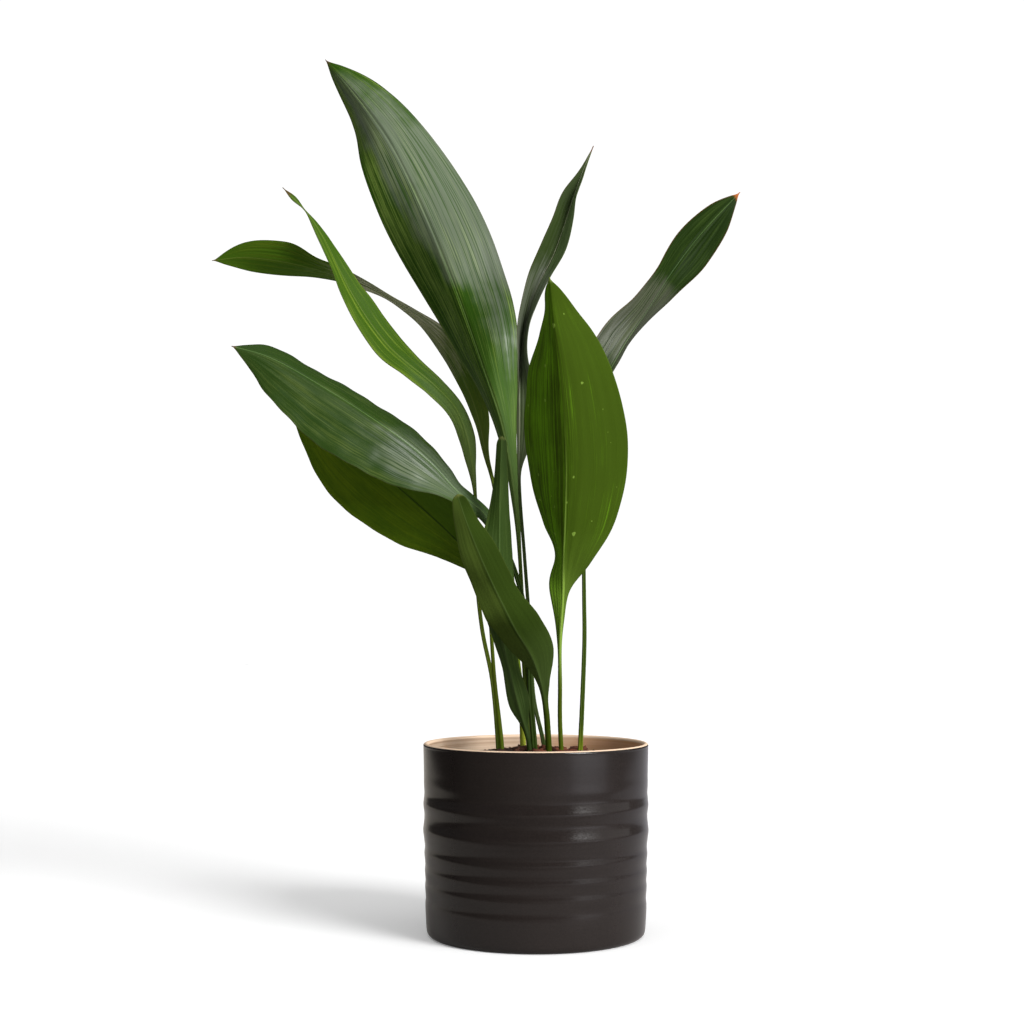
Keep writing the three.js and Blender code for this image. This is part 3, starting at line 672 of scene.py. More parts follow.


# Leaves: the same rule and the same places as the solids, read in fine steps.
#   front       1 when the upper face is turned to the viewer, -1 when the underside is
#   stalk       radius at the soil and at the blade
#   foot        where the stalk leaves the rootstock, then the way up to the blade
#   blade       the way of the midrib from the stalk to the tip
#   half        half breadth at even steps along the blade
#   left        how far each half is turned towards the viewer, in degrees (right: the other half)
#   wave        height of the margin's wave, number of waves, start on the left and on the right
#   look        colours of the darkest and the palest tissue, the midrib and the tip
#   rough       roughness of the upper face; gloss: strength of the plain highlight
#   rib         how clearly the midrib shows; ribFade: how much of that is lost towards the tip
#   paintedHalfLight    painted light and shade: how much paler the left half is made than the right
#   sheen       middle of the sheen, across and along the blade, and how much it leans; the sheen is partly coat gloss and partly a painted highlight
#   sheenReach  how far the shine reaches across and along, and how strong it is
#   bloom       colour of the painted highlight that the sheen mixes into the base colour
#   specks      strength of the pale specks; foldDepth: depth of the long folds
#   tipLength   share of the blade that is dry at the tip
#   stalkColour, footColour: the stalk at the blade, and where it leaves the soil

stalkFoot = 121.2
leaves = {
    "leaf_tall": {
        "front": 1, "stalk": (3.2, 1.6),
        "foot": [(-2, 5, stalkFoot), (-3, 6, 146), (-6.5, 8, 185), (-10, 10, 234), (-12, 12, 290)],
        "blade": [(-17, 15, 351), (-26, 21, 406), (-43, 33, 459), (-79, 64, 561), (-122, 98, 658),
                  (-151, 115, 703), (-185, 130, 746)],
        "half": [1.8, 4, 10, 25, 39, 45, 45, 41, 34, 24, 0],
        "left": [-30, -50, -60, -70, -65, -55, -40, -25, -20, -45, -30],
        "right": [-20, -20, -40, -25, -10, -15, -10, -15, -20, -20, 0],
        "wave": (0.6, 3, 0.1, 0.6),
        "look": ("2a4a0a", "788f42", "86a05c", "6a4c38"), "rough": 0.38, "gloss": 0.04, "rib": 0.4,
        "ribFade": 0.9, "paintedHalfLight": 0.08, "sheen": (-0.12, 0.68, 2.0), "sheenReach": (0.66, 0.31, 0.6),
        "sheenPaint": "8d9184", "stalkColour": "4a5a1a", "footColour": "55641a",
    },
    "leaf_far_left": {
        "front": -1, "stalk": (2.5, 1.6),
        "foot": [(-9, 19, stalkFoot), (-10, 20, 146), (-12, 25, 193), (-20, 34, 258), (-27, 42, 303),
                 (-32, 48, 349)],
        "blade": [(-38, 58, 380), (-54, 87, 442), (-85, 114, 496), (-134, 127, 536), (-193, 138, 560),
                  (-256, 147, 572), (-288, 152, 570)],
        "half": [1.8, 6, 12, 16, 20, 23, 24, 24, 24, 21, 19, 14, 0],
        "left": [-60, -60, -70, -70, -70, -70, -80, -85, -80, -70, -50, -30, 0],
        "right": [70, 80, 50, 50, 60, 65, 80, 85, 75, 60, 20, 15, 0],
        "wave": (0.6, 3, 0.4, 0.9),
        "look": ("3e5e0c", "667618", "8a9648", "6a5a30"), "rough": 0.6, "gloss": 0.08, "rib": 0.3,
        "sheen": (0, 0.52, 0), "sheenReach": (1.5, 0.22, 0.9), "sheenPaint": "b0b080",
        "stalkColour": "5a6a14", "footColour": "c8d048",
    },
    "leaf_slender_left": {
        "front": 1, "stalk": (1.9, 1.5),
        "foot": [(-29, 7, stalkFoot), (-30, 8, 146), (-35, 14, 201), (-43.5, 20, 243), (-49, 27, 299),
                 (-49, 30, 348)],
        "blade": [(-56, 35, 400), (-66, 38, 425), (-83, 41, 444), (-123, 44, 479), (-153, 43, 522),
                  (-177, 39, 569), (-192, 37, 591), (-210, 34, 609)],
        "half": [1.8, 4.5, 6, 8, 10, 11, 12.5, 13.5, 14.5, 15.5, 16, 17, 17, 16.5, 16, 15, 13,
                 11.5, 10, 8.5, 6.5, 3.5, 0.6, 2.2, 0],
        "left": [30, 35, 45, 50, 50, 50, 45, 50, 50, 55, 45, 30, 0],
        "right": [-50, -60, -50, -60, -60, -55, -45, -40, -35, -40, -55, -40, 0],
        "wave": (0.4, 3, 0, 0.5),
        "look": ("37540e", "6a8028", "7c8e40", "5a4a28"), "rough": 0.5, "gloss": 0.06, "rib": 0.3,
        "paintedHalfLight": 0.04, "foldDepth": 0.15, "tipLength": 0.03, "sheen": (0, 0.2, 0),
        "sheenReach": (1.5, 0.25, 0.12), "stalkColour": "4f5c14", "footColour": "2c3a0e",
    },
    "leaf_left_upper": {
        "front": 1, "stalk": (2.6, 2),
        "foot": [(0, -2, stalkFoot), (-1, -2, 147), (-4, -3, 186), (-7, -3, 246), (-18, -2, 293)],
        "blade": [(-40, -5, 334), (-63, -11, 353), (-84, -17, 375), (-107, -21, 394), (-157, -31, 427),
                  (-209, -44, 456), (-238, -52, 464)],
        "half": [2.2, 6, 13, 33, 41, 43, 38, 25, 0],
        "left": [20, 40, 50, 35, 20, 20, 15, 10, 0],
        "right": [-50, -55, -60, -73, -72, -76, -76, -70, -60],
        "wave": (1.2, 4, 0.1, 0.6),
        "look": ("263c12", "4a5a28", "6c8a50", "5a4230"), "rough": 0.4, "gloss": 0.05, "rib": 0.35,
        "paintedHalfLight": 0.06, "sheen": (0.4, 0.32, 0), "sheenReach": (0.6, 0.24, 0.36), "sheenPaint": "8a9284",
        "stalkColour": "2c3c12", "footColour": "33460e",
    },
    "leaf_left_lower": {
        "front": -1, "stalk": (1.9, 1.4),
        "foot": [(-27, -3, stalkFoot), (-27, -2, 147), (-33, -1, 202), (-36, 2, 243), (-38, 4, 266)],
        "blade": [(-45, 7, 296), (-67, 11, 318), (-90, 16, 339), (-136, 26, 379), (-183, 38, 419),
                  (-207, 46, 439)],
        "half": [1.6, 14, 26, 38, 44, 45, 39, 23, 0],
        "left": [-30, -30, -35, -25, -20, -20, -20, -20, -20],
        "right": [50, 70, 45, 45, 52, 60, 60, 60, 40],
        "wave": (0.8, 3, 0.3, 0.8),
        "look": ("44600c", "60760f", "263a0a", "6a6a30"), "rough": 0.6, "gloss": 0.06, "rib": 0.8,
        "paintedHalfLight": 0.15, "stalkColour": "4f5c14", "footColour": "2c3a0e",
    },
    "leaf_front_low": {
        "front": -1, "stalk": (2.6, 2.4),
        "foot": [(10, -21, stalkFoot), (10, -22, 149), (9, -25, 165), (8, -28, 178)],
        "blade": [(4, -35, 201), (-4, -43, 223), (-16, -52, 243), (-36, -72, 283), (-53, -93, 324),
                  (-60, -104, 345)],
        "half": [2.4, 7, 19, 21, 17, 16, 14.5, 10, 4.5],
        "left": [-60, -60, -52, -47, -15, -23, -15, -18, 0],
        "right": [45, 15, 5, 5, -15, -12, -15, -33, 0],
        "wave": (0.5, 2.5, 0.2, 0.7),
        "look": ("2c3c12", "445420", "5f7440", "5a6230"), "rough": 0.65, "gloss": 0.0, "rib": 0.25,
        "paintedHalfLight": 0.45, "foldDepth": 0.08, "stalkColour": "34420c", "footColour": "2c3c0a",
    },
    "leaf_short_upright": {
        "front": -1, "stalk": (2, 2),
        "foot": [(-4, -14, stalkFoot), (-5, -14, 147), (-6, -15, 155)],
        "blade": [(-14, -17, 185), (-21, -19, 214), (-27, -21, 244), (-29, -25, 304), (-28, -31, 365),
                  (-27, -34, 395)],
        "half": [2, 9.5, 8, 12.5, 14, 15, 9.5, 6, 4],
        "left": [-30, -35, -43, -37, 14, 15, -18, -36, -20],
        "right": [30, 20, 22, 12, -28, -47, -35, -18, -20],
        "wave": (0.5, 3, 0.6, 0.1),
        "look": ("2c4012", "4c6028", "5f7840", "5a6230"), "rough": 0.5, "gloss": 0.1, "rib": 0.3,
        "foldDepth": 0.12, "stalkColour": "263610", "footColour": "1c2c0a",
    },
    "leaf_right_front": {
        "front": -1, "stalk": (2, 1.7),
        "foot": [(21, -13, stalkFoot), (20, -14, 148), (19, -16, 171), (19, -20, 195)],
        "blade": [(19, -26, 234), (21, -34, 270), (22, -42, 305), (23, -60, 375), (18, -84, 442),
                  (13, -98, 475), (9, -114, 507)],
        "half": [1.7, 2, 4.5, 11, 21, 37, 46, 50, 50, 47, 42, 33, 18, 0],
        "left": [-50, -50, -25, -20, -70, -62, -55, -52, -50, -52, -55, -68, -73, -50],
        "right": [-60, -60, -65, -65, -15, -15, -17, -17, -17, -20, -25, -32, -38, -20],
        "wave": (0.7, 3, 0.4, 0.9),
        "look": ("384c0d", "669618", "8cac48", "6a7a38"), "rough": 0.6, "gloss": 0.03, "rib": 0.65,
        "ribFade": 1.0, "paintedHalfLight": 0.15, "specks": 1.0, "foldDepth": 0.2, "stalkColour": "46540f",
        "footColour": "8a9a1c",
    },
    "leaf_twisted_top": {
        "front": 1, "stalk": (1.8, 1.3),
        "foot": [(6, 4, stalkFoot), (7, 4, 146), (-1.5, 3, 187), (-4, 3, 234), (-9, 2, 302),
                 (-13, 1, 359)],
        "blade": [(-13, -2, 408), (-13, -2, 434), (-12, 0, 459), (-3, 5, 508), (17, 14, 553), (32, 25, 599),
                  (40, 31, 622), (49, 38, 645)],
        "half": [1.3, 8, 12, 14, 16, 16, 15, 15, 15, 13, 10, 3, 0],
        "left": [70, 80, 80, 85, 80, 65, 55, 35, 30, 30, 10, 5, 0],
        "right": [30, 10, 15, 30, 70, 80, 70, 68, 60, 65, 80, 60, 30],
        "wave": (0.4, 3, 0.5, 0),
        "look": ("2e3c1a", "62784a", "a0a488", "6a4c38"), "rough": 0.5, "gloss": 0.04, "rib": 0.7,
        "paintedHalfLight": -0.3, "tipLength": 0.025, "sheen": (0.3, 0.43, 0), "sheenReach": (0.9, 0.2, 0.5),
        "sheenPaint": "8a8c82", "stalkColour": "4a5a30", "footColour": "2a3a10",
    },
    "leaf_right_back": {
        "front": 1, "stalk": (2.1, 1.6),
        "foot": [(35, 7, stalkFoot), (36, 8, 146), (40, 20, 233), (40, 25, 266), (40, 30, 299)],
        "blade": [(41, 37, 346), (45, 46, 393), (54, 57, 438), (74, 69, 479), (98, 82, 516),
                  (123, 96, 555), (151, 109, 591), (182, 122, 625)],
        "half": [1.5, 6, 13, 20, 24, 24, 22, 20, 20.5, 15.5, 0],
        "left": [50, 45, 40, 35, 20, 20, 45, 50, 40, 40, 20],
        "right": [-55, -60, -65, -68, -82, -83, -77, -45, -5, 15, 0],
        "wave": (0.8, 3, 0.2, 0.7),
        "look": ("1b2c0a", "3a4e1e", "5f7c4c", "a8602e"), "rough": 0.45, "gloss": 0.04, "rib": 0.35,
        "tipLength": 0.02, "sheen": (0, 0.56, 0), "sheenReach": (1.5, 0.15, 0.3), "sheenPaint": "8a8478",
        "stalkColour": "3c4e12", "footColour": "8a9a1c",
    },
}

# What a leaf has where it says nothing else
usual = {
    "tipLength": 0.012, "paintedHalfLight": 0.0, "ribFade": 0.0, "specks": 0.0, "foldDepth": 0.25, "sheenPaint": "84908a",
    "sheen": (0, 0.5, 0), "sheenReach": (0.5, 0.2, 0.0),
}
blank = {
    "thickness": 0.8, "marginShare": 0.4, "ribDepth": 0.8, "ribLoss": 0.8, "ribBreadth": (1.5, 0.7),
    "grooveDepth": 0.35, "grooveLoss": 0.6, "foldRound": 0.22, "blendLength": 0.12, "tipHalf": 0.35,
    "tipRound": 0.03, "waveHalf": 15, "secondWave": (0.3, 3.3), "stalkGroove": 0.3, "grooveTurn": 24,
    "stalkSeam": 3, "columns": 53, "ribColumns": (3, 0.07), "marginColumns": (4, 0.05), "bladeStep": 2.0,
    "stalkStep": 7.0, "endCrowding": 0.05, "lineSteps": 60, "aheadStep": 1.5, "viewer": (-19, -1450, 266),
}
relief = {
    "folds": 5.0, "foldWander": 0.35, "wander": (2.2, 2.5, 1.0), "deeperSpan": (0.3, 0.6, 0.3, 1.3),
    "cockle": 0.9, "cockleLength": 0.28, "cockleWander": (1.4, 1.0, 1.0), "tipFade": 0.15, "fullHalf": 20,
}


# Smooth reading of evenly spaced values at shares from 0 to 1
def readAlong(values, shares):
    values = np.array(values, float)
    last = len(values) - 1
    padded = np.concatenate([[2 * values[0] - values[1]], values, [2 * values[-1] - values[-2]]])
    place = np.clip(shares, 0, 1) * last
    index = np.minimum(np.floor(place).astype(int), last - 1)
    part = place - index
    before, start, end, after = (padded[index + k] for k in range(4))
    slopeStart, slopeEnd = (end - before) / 2, (after - start) / 2
    return (start + slopeStart * part + (3 * (end - start) - 2 * slopeStart - slopeEnd) * part ** 2
            + (2 * (start - end) + slopeStart + slopeEnd) * part ** 3)


# Points of the centre line at even small steps, and how far along it the blade begins
def centreLine(leaf):
    places = [np.array(place, float) for place in leaf["foot"] + leaf["blade"]]
    padded = [2 * places[0] - places[1]] + places + [2 * places[-1] - places[-2]]
    points = []
    for k in range(len(places) - 1):
        a, b, c, d = padded[k:k + 4]
        first, middle, last = (math.sqrt(max(np.linalg.norm(end - start), 1e-9))
                               for start, end in ((a, b), (b, c), (c, d)))
        slopeStart = ((b - a) / first - (c - a) / (first + middle) + (c - b) / middle) * middle
        slopeEnd = ((c - b) / middle - (d - b) / (middle + last) + (d - c) / last) * middle
        part = np.arange(blank["lineSteps"])[:, None] / blank["lineSteps"]
        points.append(b + slopeStart * part + (3 * (c - b) - 2 * slopeStart - slopeEnd) * part ** 2
                      + (2 * (b - c) + slopeStart + slopeEnd) * part ** 3)
    points = np.concatenate(points + [places[-1][None]])
    reach = np.concatenate([[0], np.cumsum(np.linalg.norm(np.diff(points, axis=0), axis=1))])
    return points, reach, reach[blank["lineSteps"] * (len(leaf["foot"]) - 1)]


# Columns across the blade, closer together at the midrib and at the margins
def columnPlaces():
    fine = np.linspace(-1, 1, 2001)
    ribMore, ribReach = blank["ribColumns"]
    edgeMore, edgeReach = blank["marginColumns"]
    density = (1 + ribMore * np.exp(-(fine / ribReach) ** 2)
               + edgeMore * np.exp(-((1 - abs(fine)) / edgeReach) ** 2))
    total = np.concatenate([[0], np.cumsum((density[1:] + density[:-1]) / 2)])
    return -np.interp(np.linspace(0, total[-1], blank["columns"]), total, fine)


def leafBlank(name, leaf):
    points, reach, bladeStart = centreLine(leaf)
    length = reach[-1]
    onStalk = np.linspace(0, bladeStart, max(3, int(bladeStart / blank["stalkStep"])), endpoint=False)
    even = np.linspace(0, 1, int((length - bladeStart) / blank["bladeStep"]))
    uneven = even - blank["endCrowding"] * np.sin(2 * math.pi * even)
    onBlade = bladeStart + (length - bladeStart) * uneven
    distances = np.concatenate([onStalk, onBlade])
    along = np.stack([np.interp(distances, reach, points[:, k]) for k in range(3)], 1)
    near = blank["aheadStep"]
    ahead = np.stack([np.interp(distances + near, reach, points[:, k])
                      - np.interp(distances - near, reach, points[:, k]) for k in range(3)], 1)
    ahead /= np.linalg.norm(ahead, axis=1)[:, None]
    side = np.cross(ahead, along - np.array(blank["viewer"], float))
    side /= np.linalg.norm(side, axis=1)[:, None]
    lift = np.cross(ahead, side)

    share = ((distances - bladeStart) / (length - bladeStart))[:, None]
    onward = np.clip(share, 0, 1)
    left, right = readAlong(leaf["left"], onward), readAlong(leaf["right"], onward)
    roll, fold = np.radians((left - right) / 2), np.radians((left + right) / 2)
    nearTip = np.clip((onward - 1) / blank["tipRound"] + 1, 0, 1)
    half = np.maximum(readAlong(leaf["half"], onward) * np.sqrt(1 - nearTip ** 2), blank["tipHalf"])
    place = columnPlaces()[None, :]
    height, count, startLeft, startRight = leaf["wave"]
    start = np.where(place > 0, startLeft, startRight)
    wave = height * np.sin(2 * math.pi * (count * onward + start))
    smaller, closer = blank["secondWave"]
    wave = wave + smaller * height * np.sin(2 * math.pi * (closer * count * onward + 2 * start))
    wave = wave * np.minimum(1, half / blank["waveHalf"])
    bend = blank["foldRound"]
    span = math.hypot(1, bend) - bend
    away = np.hypot(place, bend)
    acrossWay = half * place * np.cos(fold)
    liftWay = half * np.sin(fold) * (away - bend) / span + wave * place ** 2
    slopeLift = half * np.sin(fold) * place / away / span + 2 * wave * place
    slopeSide = half * np.cos(fold)
    slope = np.hypot(slopeLift, slopeSide)
    normalSide, normalLift = -slopeLift / slope, slopeSide / slope
    fromRib = place * half
    thickness = blank["thickness"] / 2 * (
        blank["marginShare"] + (1 - blank["marginShare"]) * (1 - abs(place) ** 10)) * np.ones_like(fromRib)
    ribBase, ribTaper = blank["ribBreadth"]
    rib = np.exp(-(fromRib / (ribBase * (1.1 - ribTaper * onward))) ** 2)
    ribUnder = blank["ribDepth"] * (1 - blank["ribLoss"] * onward) * rib
    ribUpper = -blank["grooveDepth"] * (1 - blank["grooveLoss"] * onward) * rib

    blend = np.clip(share / blank["blendLength"], 0, 1)
    blend = blend * blend * (3 - 2 * blend)
    climb = np.clip(distances / bladeStart, 0, 1)[:, None]
    radius = leaf["stalk"][0] + (leaf["stalk"][1] - leaf["stalk"][0]) * climb
    turn = np.radians(np.linspace(blank["stalkSeam"], 180 - blank["stalkSeam"], blank["columns"]))[None, :]
    groove = 1 - blank["stalkGroove"] * np.exp(-((np.degrees(turn) - 90) / blank["grooveTurn"]) ** 2)

    skins, uppers = [], []
    for over in (1, -1):
        upper = over == leaf["front"]
        depth = thickness + (ribUpper if upper else ribUnder)
        sideBlade, liftBlade = acrossWay + over * depth * normalSide, liftWay + over * depth * normalLift
        across = sideBlade * np.cos(roll) - liftBlade * np.sin(roll)
        up = sideBlade * np.sin(roll) + liftBlade * np.cos(roll)
        stalkAcross = radius * np.cos(turn)
        stalkUp = over * radius * np.sin(turn) * (groove if upper else 1)
        across = stalkAcross + (across - stalkAcross) * blend
        up = stalkUp + (up - stalkUp) * blend
        skin = along[:, None] + side[:, None] * across[..., None] + lift[:, None] * up[..., None]
        skins.append(skin if over == 1 else skin[:, ::-1])
        uppers.append(np.full(across.shape, float(upper)))
    riseSide = normalSide * np.cos(roll) - normalLift * np.sin(roll)
    riseLift = normalSide * np.sin(roll) + normalLift * np.cos(roll)
    rise = side[:, None] * riseSide[..., None] + lift[:, None] * riseLift[..., None]
    # the relief dies out at the stalk, the tip and the margins, and where the blade is narrow
    fade = (blend * np.clip((1 - onward) / relief["tipFade"], 0, 1) * np.minimum(1, half / relief["fullHalf"])
            * (1 - abs(place) ** 6))
    alongShare = np.where(share < 0, climb - 1, share) * np.ones_like(place)
    bothFaces = {
        "leafPlace": np.stack([place * np.ones_like(share), alongShare, 0 * alongShare], -1),
        "leafReach": np.stack([fromRib, (1 - abs(place)) * half, fade], -1),
        "rise": rise,
    }
    rows, columns = len(distances), 2 * blank["columns"]
    values = {key: np.concatenate([data, data[:, ::-1]], 1) for key, data in bothFaces.items()}
    values["leafPlace"][..., 2] = np.concatenate(uppers, 1)
    ring, firsts = np.arange(columns), (np.arange(rows - 1) * columns)[:, None]
    near, nearNext = firsts + ring, firsts + (ring + 1) % columns
    faces = np.stack([near, nearNext, nearNext + columns, near + columns], -1).reshape(-1, 4).tolist()
    last = (rows - 1) * columns
    for k in range(blank["columns"] - 1):
        mirror = columns - 1 - k
        faces.append((k, mirror, mirror - 1, k + 1))
        faces.append((last + k, last + k + 1, last + mirror - 1, last + mirror))
    return meshFrom(name + "_leaf", np.concatenate(skins, 1).reshape(-1, 3) * mm, faces,
                    {key: data.reshape(-1, 3) for key, data in values.items()})


# Long folds that run with the veins, and slow cockles, moving both faces of the blade together
def leafRelief():
    tree, given, made = newGroup("leafRelief", "GeometryNodeTree", {
        "Geometry": "Geometry", "Folds": 5.0, "Fold Depth": 0.0003, "Fold Wander": 0.35,
        "Cockle Height": 0.001, "Cockle Length": 0.2, "Seed": 0.0, "Material": "Material"}, {
        "Geometry": "Geometry"})
    across, along, _ = split(tree, named(tree, "leafPlace", "FLOAT_VECTOR"))
    fade = split(tree, named(tree, "leafReach", "FLOAT_VECTOR"))[2]
    wander = drawnNoise(tree, (across, along, given["Seed"]), relief["wander"])
    phase = plus(tree, calc(tree, "ABSOLUTE", across), times(tree, wander, given["Fold Wander"]))
    folds = calc(tree, "SINE", times(tree, phase, given["Folds"], 2 * math.pi))
    deeper = ramp(tree, wander, *relief["deeperSpan"])  # some stretches are folded more than others
    folds = times(tree, folds, times(tree, given["Fold Depth"], deeper))
    slow = (across, calc(tree, "DIVIDE", along, given["Cockle Length"]), plus(tree, given["Seed"], 9.0))
    cockle = swing(tree, drawnNoise(tree, slow, relief["cockleWander"], 1.0), 2.0)
    amount = times(tree, plus(tree, folds, times(tree, cockle, given["Cockle Height"])), fade)
    offset = vectorCalc(tree, "SCALE", named(tree, "rise", "FLOAT_VECTOR"), amount)
    moved = shifted(tree, given["Geometry"], offset)
    tree.links.new(finished(tree, moved, given["Material"]), made[0])
    return tree


# Tissue that every leaf shares. A span is where a ramp starts and ends, then its two values.
tissue = {
    # stretch across and along the blade, detail and roughness of each pattern
    "bands": (16.0, 2.0, 2.0, 0.5), "veins": (46.0, 3.5, 2.0, 0.5), "threads": (150.0, 6.0, 1.0, 0.5),
    "clouds": (3.0, 7.0, 3.0, 0.6), "patches": 22.0, "fullHalf": 45,
    # half breadth at which the finest lines run together, and at which they are clear
    "threadSpan": (3.0, 26.0), "veinSpan": (1.0, 14.0),
    "toneBase": 0.28, "bandTone": 0.24, "veinTone": 0.36, "threadTone": 0.36, "cloudTone": 0.3,
    "sharperSpan": (0.0, 1.0, 0.9, 1.4), "sideSpan": (-0.25, 0.25, -0.5, 0.5), "toneSpan": (0.36, 0.64),
    "neckSpan": (0.05, 0.42, 0.3, 0.0), "sheenOtherSide": -0.4, "sheenBands": 0.9, "sheenPatches": 2.6,
    "sheenSpan": (0.2, 1.2, 1.0, 0.0), "sheenVeins": (0.36, 0.47, 0.25, 1.0), "sheenPaintShare": 0.6,
    "ribBreadth": (0.0, 1.0, 1.3, 0.45), "ribSpan": (0.35, 1.0, 1.0, 0.0), "ribFadeSpan": (0.35, 0.7),
    "edgeSpan": (0.2, 0.9, 0.4, 0.0), "edgeDeep": 0.6, "specks": 190.0, "speckSpan": (0.81, 0.83, 0.0, 0.5),
    "stalkSpan": (-0.02, 0.14, 1.0, 0.0), "footSpan": (-1.0, -0.72, 1.0, 0.0),
    "streakSpan": (0.35, 0.65, 0.0, 0.35), "tipWander": 0.02, "tipSpan": (-0.004, 0.008),
    "undersideRough": (0.0, 1.0, 0.14, 0.0), "patchRough": 0.2, "coatRough": 0.34, "coatBend": 1.6,
    "reliefOf": {"veins": 0.6, "threads": 0.4}, "bump": {"strength": 0.5, "depth": 0.00035},
}


# Veins, midrib, margin, stalk and tip, all read from the leaf's own places
def leafTissue():
    tree, given, made = newGroup("leafTissue", "ShaderNodeTree", {
        "Deep": "Color", "Pale": "Color", "Rib": "Color", "Tip": "Color", "Stalk": "Color", "Foot": "Color",
        "Sheen Paint": "Color", "Rough": 0.4, "Tip Length": 0.02, "Rib Strength": 0.5, "Rib Fade": 0.0,
        "Painted Half Light": 0.0, "Specks": 0.0, "Breadth": 1.0, "Sheen Place": "Vector", "Sheen Reach": "Vector",
        "Seed": 0.0}, {"Colour": "Color", "Roughness": "Float", "Height": "Float", "Sheen": "Float"})
    across, along, upper = split(tree, attribute(tree, "leafPlace").outputs["Vector"])
    fromRib, fromMargin, _ = split(tree, attribute(tree, "leafReach").outputs["Vector"])
    place = objectPlace(tree)
    fromRib = calc(tree, "ABSOLUTE", fromRib)
    half = plus(tree, fromRib, fromMargin)

    def pattern(name, start):
        wide, long, detail, rough = tissue[name]
        return drawnNoise(tree, (start, along, given["Seed"]), (wide, long, 1.0), detail, rough)

    def over(mask, colour, below):
        return blendColour(tree, mask, below, colour)

    veinPlace = times(tree, across, given["Breadth"])
    bands, veins, threads = (pattern(name, veinPlace) for name in ("bands", "veins", "threads"))
    clouds = swing(tree, pattern("clouds", across))
    patches = noise(tree, place, tissue["patches"], 3.0)
    threads = swing(tree, threads, ramp(tree, half, *tissue["threadSpan"]))
    fineVeins = swing(tree, veins, ramp(tree, half, *tissue["veinSpan"]))

    tone = plus(tree, tissue["toneBase"], times(tree, bands, tissue["bandTone"]))
    sharper = ramp(tree, upper, *tissue["sharperSpan"])  # the upper face shows its veins more
    for part, weight in ((fineVeins, "veinTone"), (threads, "threadTone"), (clouds, "cloudTone")):
        tone = plus(tree, tone, times(tree, part, tissue[weight], sharper))
    # painted light and shade: one half of the blade is made paler and the other darker, as light falls on it
    tone = plus(tree, tone, times(tree, ramp(tree, across, *tissue["sideSpan"]), given["Painted Half Light"]))
    colour = blendColour(tree, ramp(tree, tone, *tissue["toneSpan"]), given["Deep"], given["Pale"])
    colour = over(ramp(tree, along, *tissue["neckSpan"]), given["Rib"], colour)

    # the sheen thins out with distance from its middle, in streaks between the veins; it sets the coat's
    # weight, a real gloss, and is mixed into the base colour as a painted highlight
    fromSheen = vectorCalc(tree, "SUBTRACT", combine(tree, across, along, 0.0), given["Sheen Place"])
    acrossAway, alongAway, lean = split(tree, fromSheen)
    acrossAway = plus(tree, acrossAway, times(tree, lean, alongAway))
    acrossAway = calc(tree, "MAXIMUM", acrossAway, times(tree, acrossAway, tissue["sheenOtherSide"]))
    acrossReach, alongReach, strength = split(tree, given["Sheen Reach"])
    away = plus(tree, *(calc(tree, "POWER", calc(tree, "DIVIDE", distance, reach), 2.0)
                        for distance, reach in ((acrossAway, acrossReach), (alongAway, alongReach))))
    for part, weight in ((bands, "sheenBands"), (patches, "sheenPatches")):
        away = plus(tree, away, swing(tree, part, tissue[weight]))
    streaks = ramp(tree, veins, *tissue["sheenVeins"])
    sheen = times(tree, ramp(tree, away, *tissue["sheenSpan"]), streaks, strength)
    # painted highlight: the sheen mixed into the base colour
    colour = over(times(tree, sheen, tissue["sheenPaintShare"]), given["Sheen Paint"], colour)

    breadth = ramp(tree, along, *tissue["ribBreadth"])
    ribMask = ramp(tree, calc(tree, "DIVIDE", fromRib, breadth), *tissue["ribSpan"])
    ribMask = times(tree, ribMask, given["Rib Strength"])
    fading = times(tree, ramp(tree, along, *tissue["ribFadeSpan"]), given["Rib Fade"])
    colour = over(times(tree, ribMask, calc(tree, "SUBTRACT", 1.0, fading)), given["Rib"], colour)
    edge = blendColour(tree, tissue["edgeDeep"], given["Tip"], given["Deep"])
    colour = over(ramp(tree, fromMargin, *tissue["edgeSpan"]), edge, colour)
    specks = ramp(tree, noise(tree, place, tissue["specks"], 0.0), *tissue["speckSpan"])
    colour = over(times(tree, specks, given["Specks"]), given["Rib"], colour)

    stalk = over(ramp(tree, along, *tissue["footSpan"]), given["Foot"], given["Stalk"])
    stalk = over(ramp(tree, veins, *tissue["streakSpan"]), given["Deep"], stalk)
    colour = over(ramp(tree, along, *tissue["stalkSpan"]), stalk, colour)
    tipStart = calc(tree, "SUBTRACT", 1.0, given["Tip Length"])
    tipStart = plus(tree, tipStart, swing(tree, veins, tissue["tipWander"]))
    tipMask = ramp(tree, calc(tree, "SUBTRACT", along, tipStart), *tissue["tipSpan"])
    colour = over(tipMask, given["Tip"], colour)

    rough = plus(tree, given["Rough"], ramp(tree, upper, *tissue["undersideRough"]))
    rough = plus(tree, rough, swing(tree, patches, tissue["patchRough"]))
    height = weighted(tree, {"veins": fineVeins, "threads": threads}, tissue["reliefOf"])
    for label, value in (("Colour", colour), ("Roughness", rough), ("Height", height), ("Sheen", sheen)):
        tree.links.new(value, made[label])
    return tree


tissueTree = leafTissue()


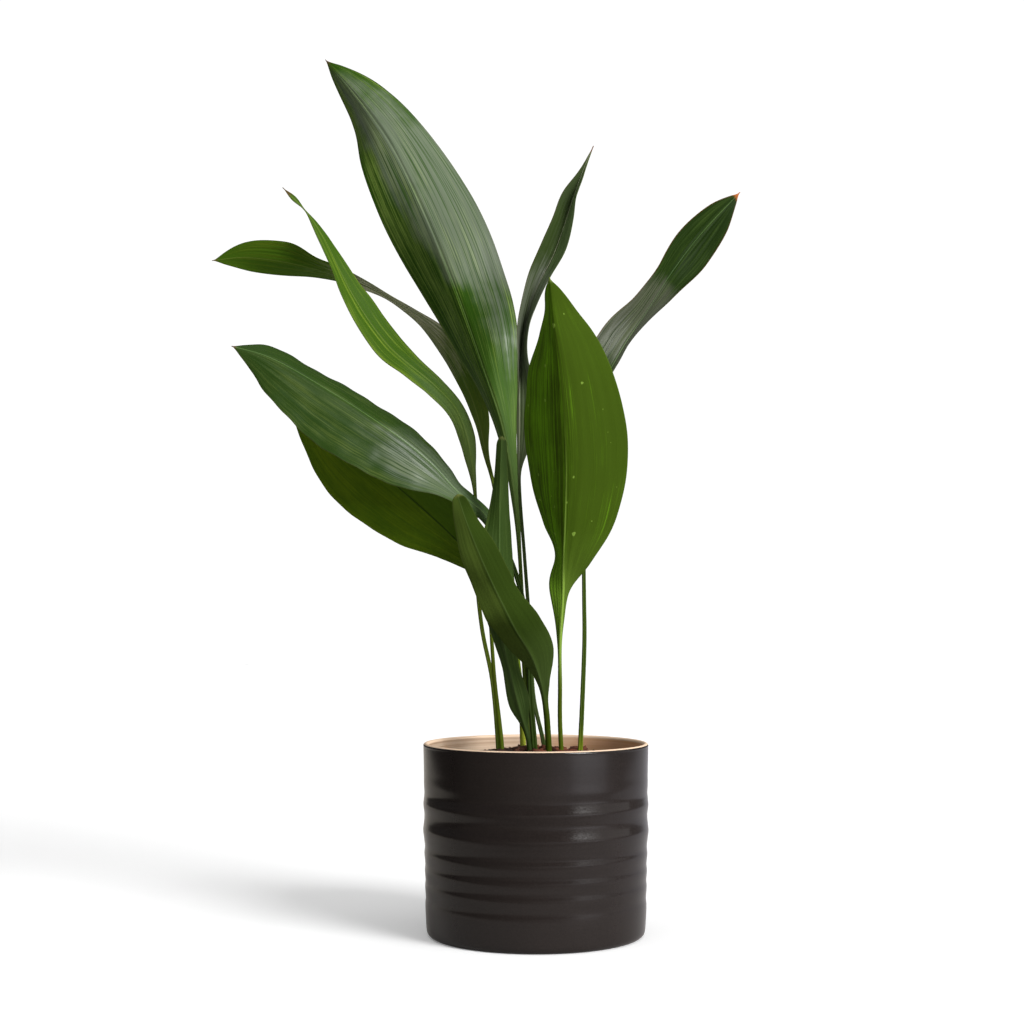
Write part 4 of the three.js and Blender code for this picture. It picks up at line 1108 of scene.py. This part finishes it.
def leafFinish(name, leaf, number):
    material, tree, shader = newMaterial(name + "Tissue", Specular_IOR_Level=leaf["gloss"],
                                         Coat_Roughness=tissue["coatRough"], Coat_IOR=tissue["coatBend"])
    deep, pale, rib, tip = (colourOf(part) for part in leaf["look"])
    made = placeGroup(tree, tissueTree, {
        "Deep": deep, "Pale": pale, "Rib": rib, "Tip": tip, "Stalk": colourOf(leaf["stalkColour"]),
        "Foot": colourOf(leaf["footColour"]), "Sheen Paint": colourOf(leaf["sheenPaint"]), "Rough": leaf["rough"],
        "Tip Length": leaf["tipLength"], "Rib Strength": leaf["rib"], "Rib Fade": leaf["ribFade"],
        "Painted Half Light": leaf["paintedHalfLight"], "Specks": leaf["specks"], "Sheen Place": leaf["sheen"],
        "Sheen Reach": leaf["sheenReach"], "Breadth": max(leaf["half"]) / tissue["fullHalf"],
        "Seed": 3.7 * number})
    for label, socket in (("Sheen", "Coat Weight"), ("Colour", "Base Color"), ("Roughness", "Roughness")):
        tree.links.new(made[label], shader.inputs[socket])
    addBump(tree, shader, made["Height"], tissue["bump"])
    return material


reliefTree = leafRelief()
leafPieces = {}
for number, (name, own) in enumerate(leaves.items()):
    leaf = {**usual, **own}
    piece = leafBlank(name, leaf)
    runNodes(piece, reliefTree, {
        "Folds": relief["folds"], "Fold Depth": leaf["foldDepth"] * mm, "Fold Wander": relief["foldWander"],
        "Cockle Height": relief["cockle"] * mm, "Cockle Length": relief["cockleLength"], "Seed": 5.3 * number,
        "Material": leafFinish(name, leaf, number)})
    leafPieces[name] = piece
print("leaves grown:", sum(len(piece.data.polygons) for piece in leafPieces.values()), "faces")


# Bark chips go on once the stalks' places are known

groundRings = [(radius, soil["crown"]) for radius in range(4, bark["smallReach"] + 1, 5)]
groundPoints, groundFaces, _ = heaped([(0, soil["crown"])] + groundRings + [(0, soil["crown"] - 60)], 48)
ground = meshFrom("ground", groundPoints, groundFaces)
stalkPlaces = meshFrom("stalkPlaces", [np.array(leaf["foot"][1]) * mm for leaf in leaves.values()], [])
chipPlaces, chipTurns, chipSizes = largeChips()
barkPiece = meshFrom("bark_chips", chipPlaces, [], {"turn": chipTurns, "size": chipSizes})
runNodes(barkPiece, barkLayer(), {
    "Ground": ground, "Stalks": stalkPlaces, "Small Spacing": bark["smallSpacing"] * mm,
    "Stalk Gap": bark["stalkGap"] * mm, "Weathering": bark["weather"] * mm, "Seed": bark["smallSeed"],
    "Material": barkFinish()})
for helper in (ground, stalkPlaces):
    bpy.data.objects.remove(helper)
print("soil and bark laid:", len(barkPiece.data.polygons), "faces of bark")


# Rootstock keeps its solid, with a finish of its own

rootstock = {
    "dark": "6a4c2c", "light": "b39663", "scales": (620, 160, 160), "toneSpan": (0.35, 0.65),
    "rough": (0.6, 0.85), "gloss": 0.3, "bump": {"strength": 0.7, "depth": 0.0006},
}


def rootFinish():
    material, tree, shader = newMaterial("rootstockSkin", Specular_IOR_Level=rootstock["gloss"])
    scales = noise(tree, vectorCalc(tree, "MULTIPLY", objectPlace(tree), rootstock["scales"]), 1.0, 3.0)
    colour = twoTones(tree, scales, rootstock)
    surface(tree, shader, colour, scales, rootstock["rough"], scales, rootstock["bump"])
    return material


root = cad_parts["rootstock"]
root.data.materials.clear()
root.data.materials.append(rootFinish())

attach(potPiece, "root")
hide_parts("pot")
for piece in (soilPiece, barkPiece):
    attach(piece, "root")
    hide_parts("soil")
for name, piece in leafPieces.items():
    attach(piece, "root")
    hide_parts(name)
print("pieces joined to the frame")
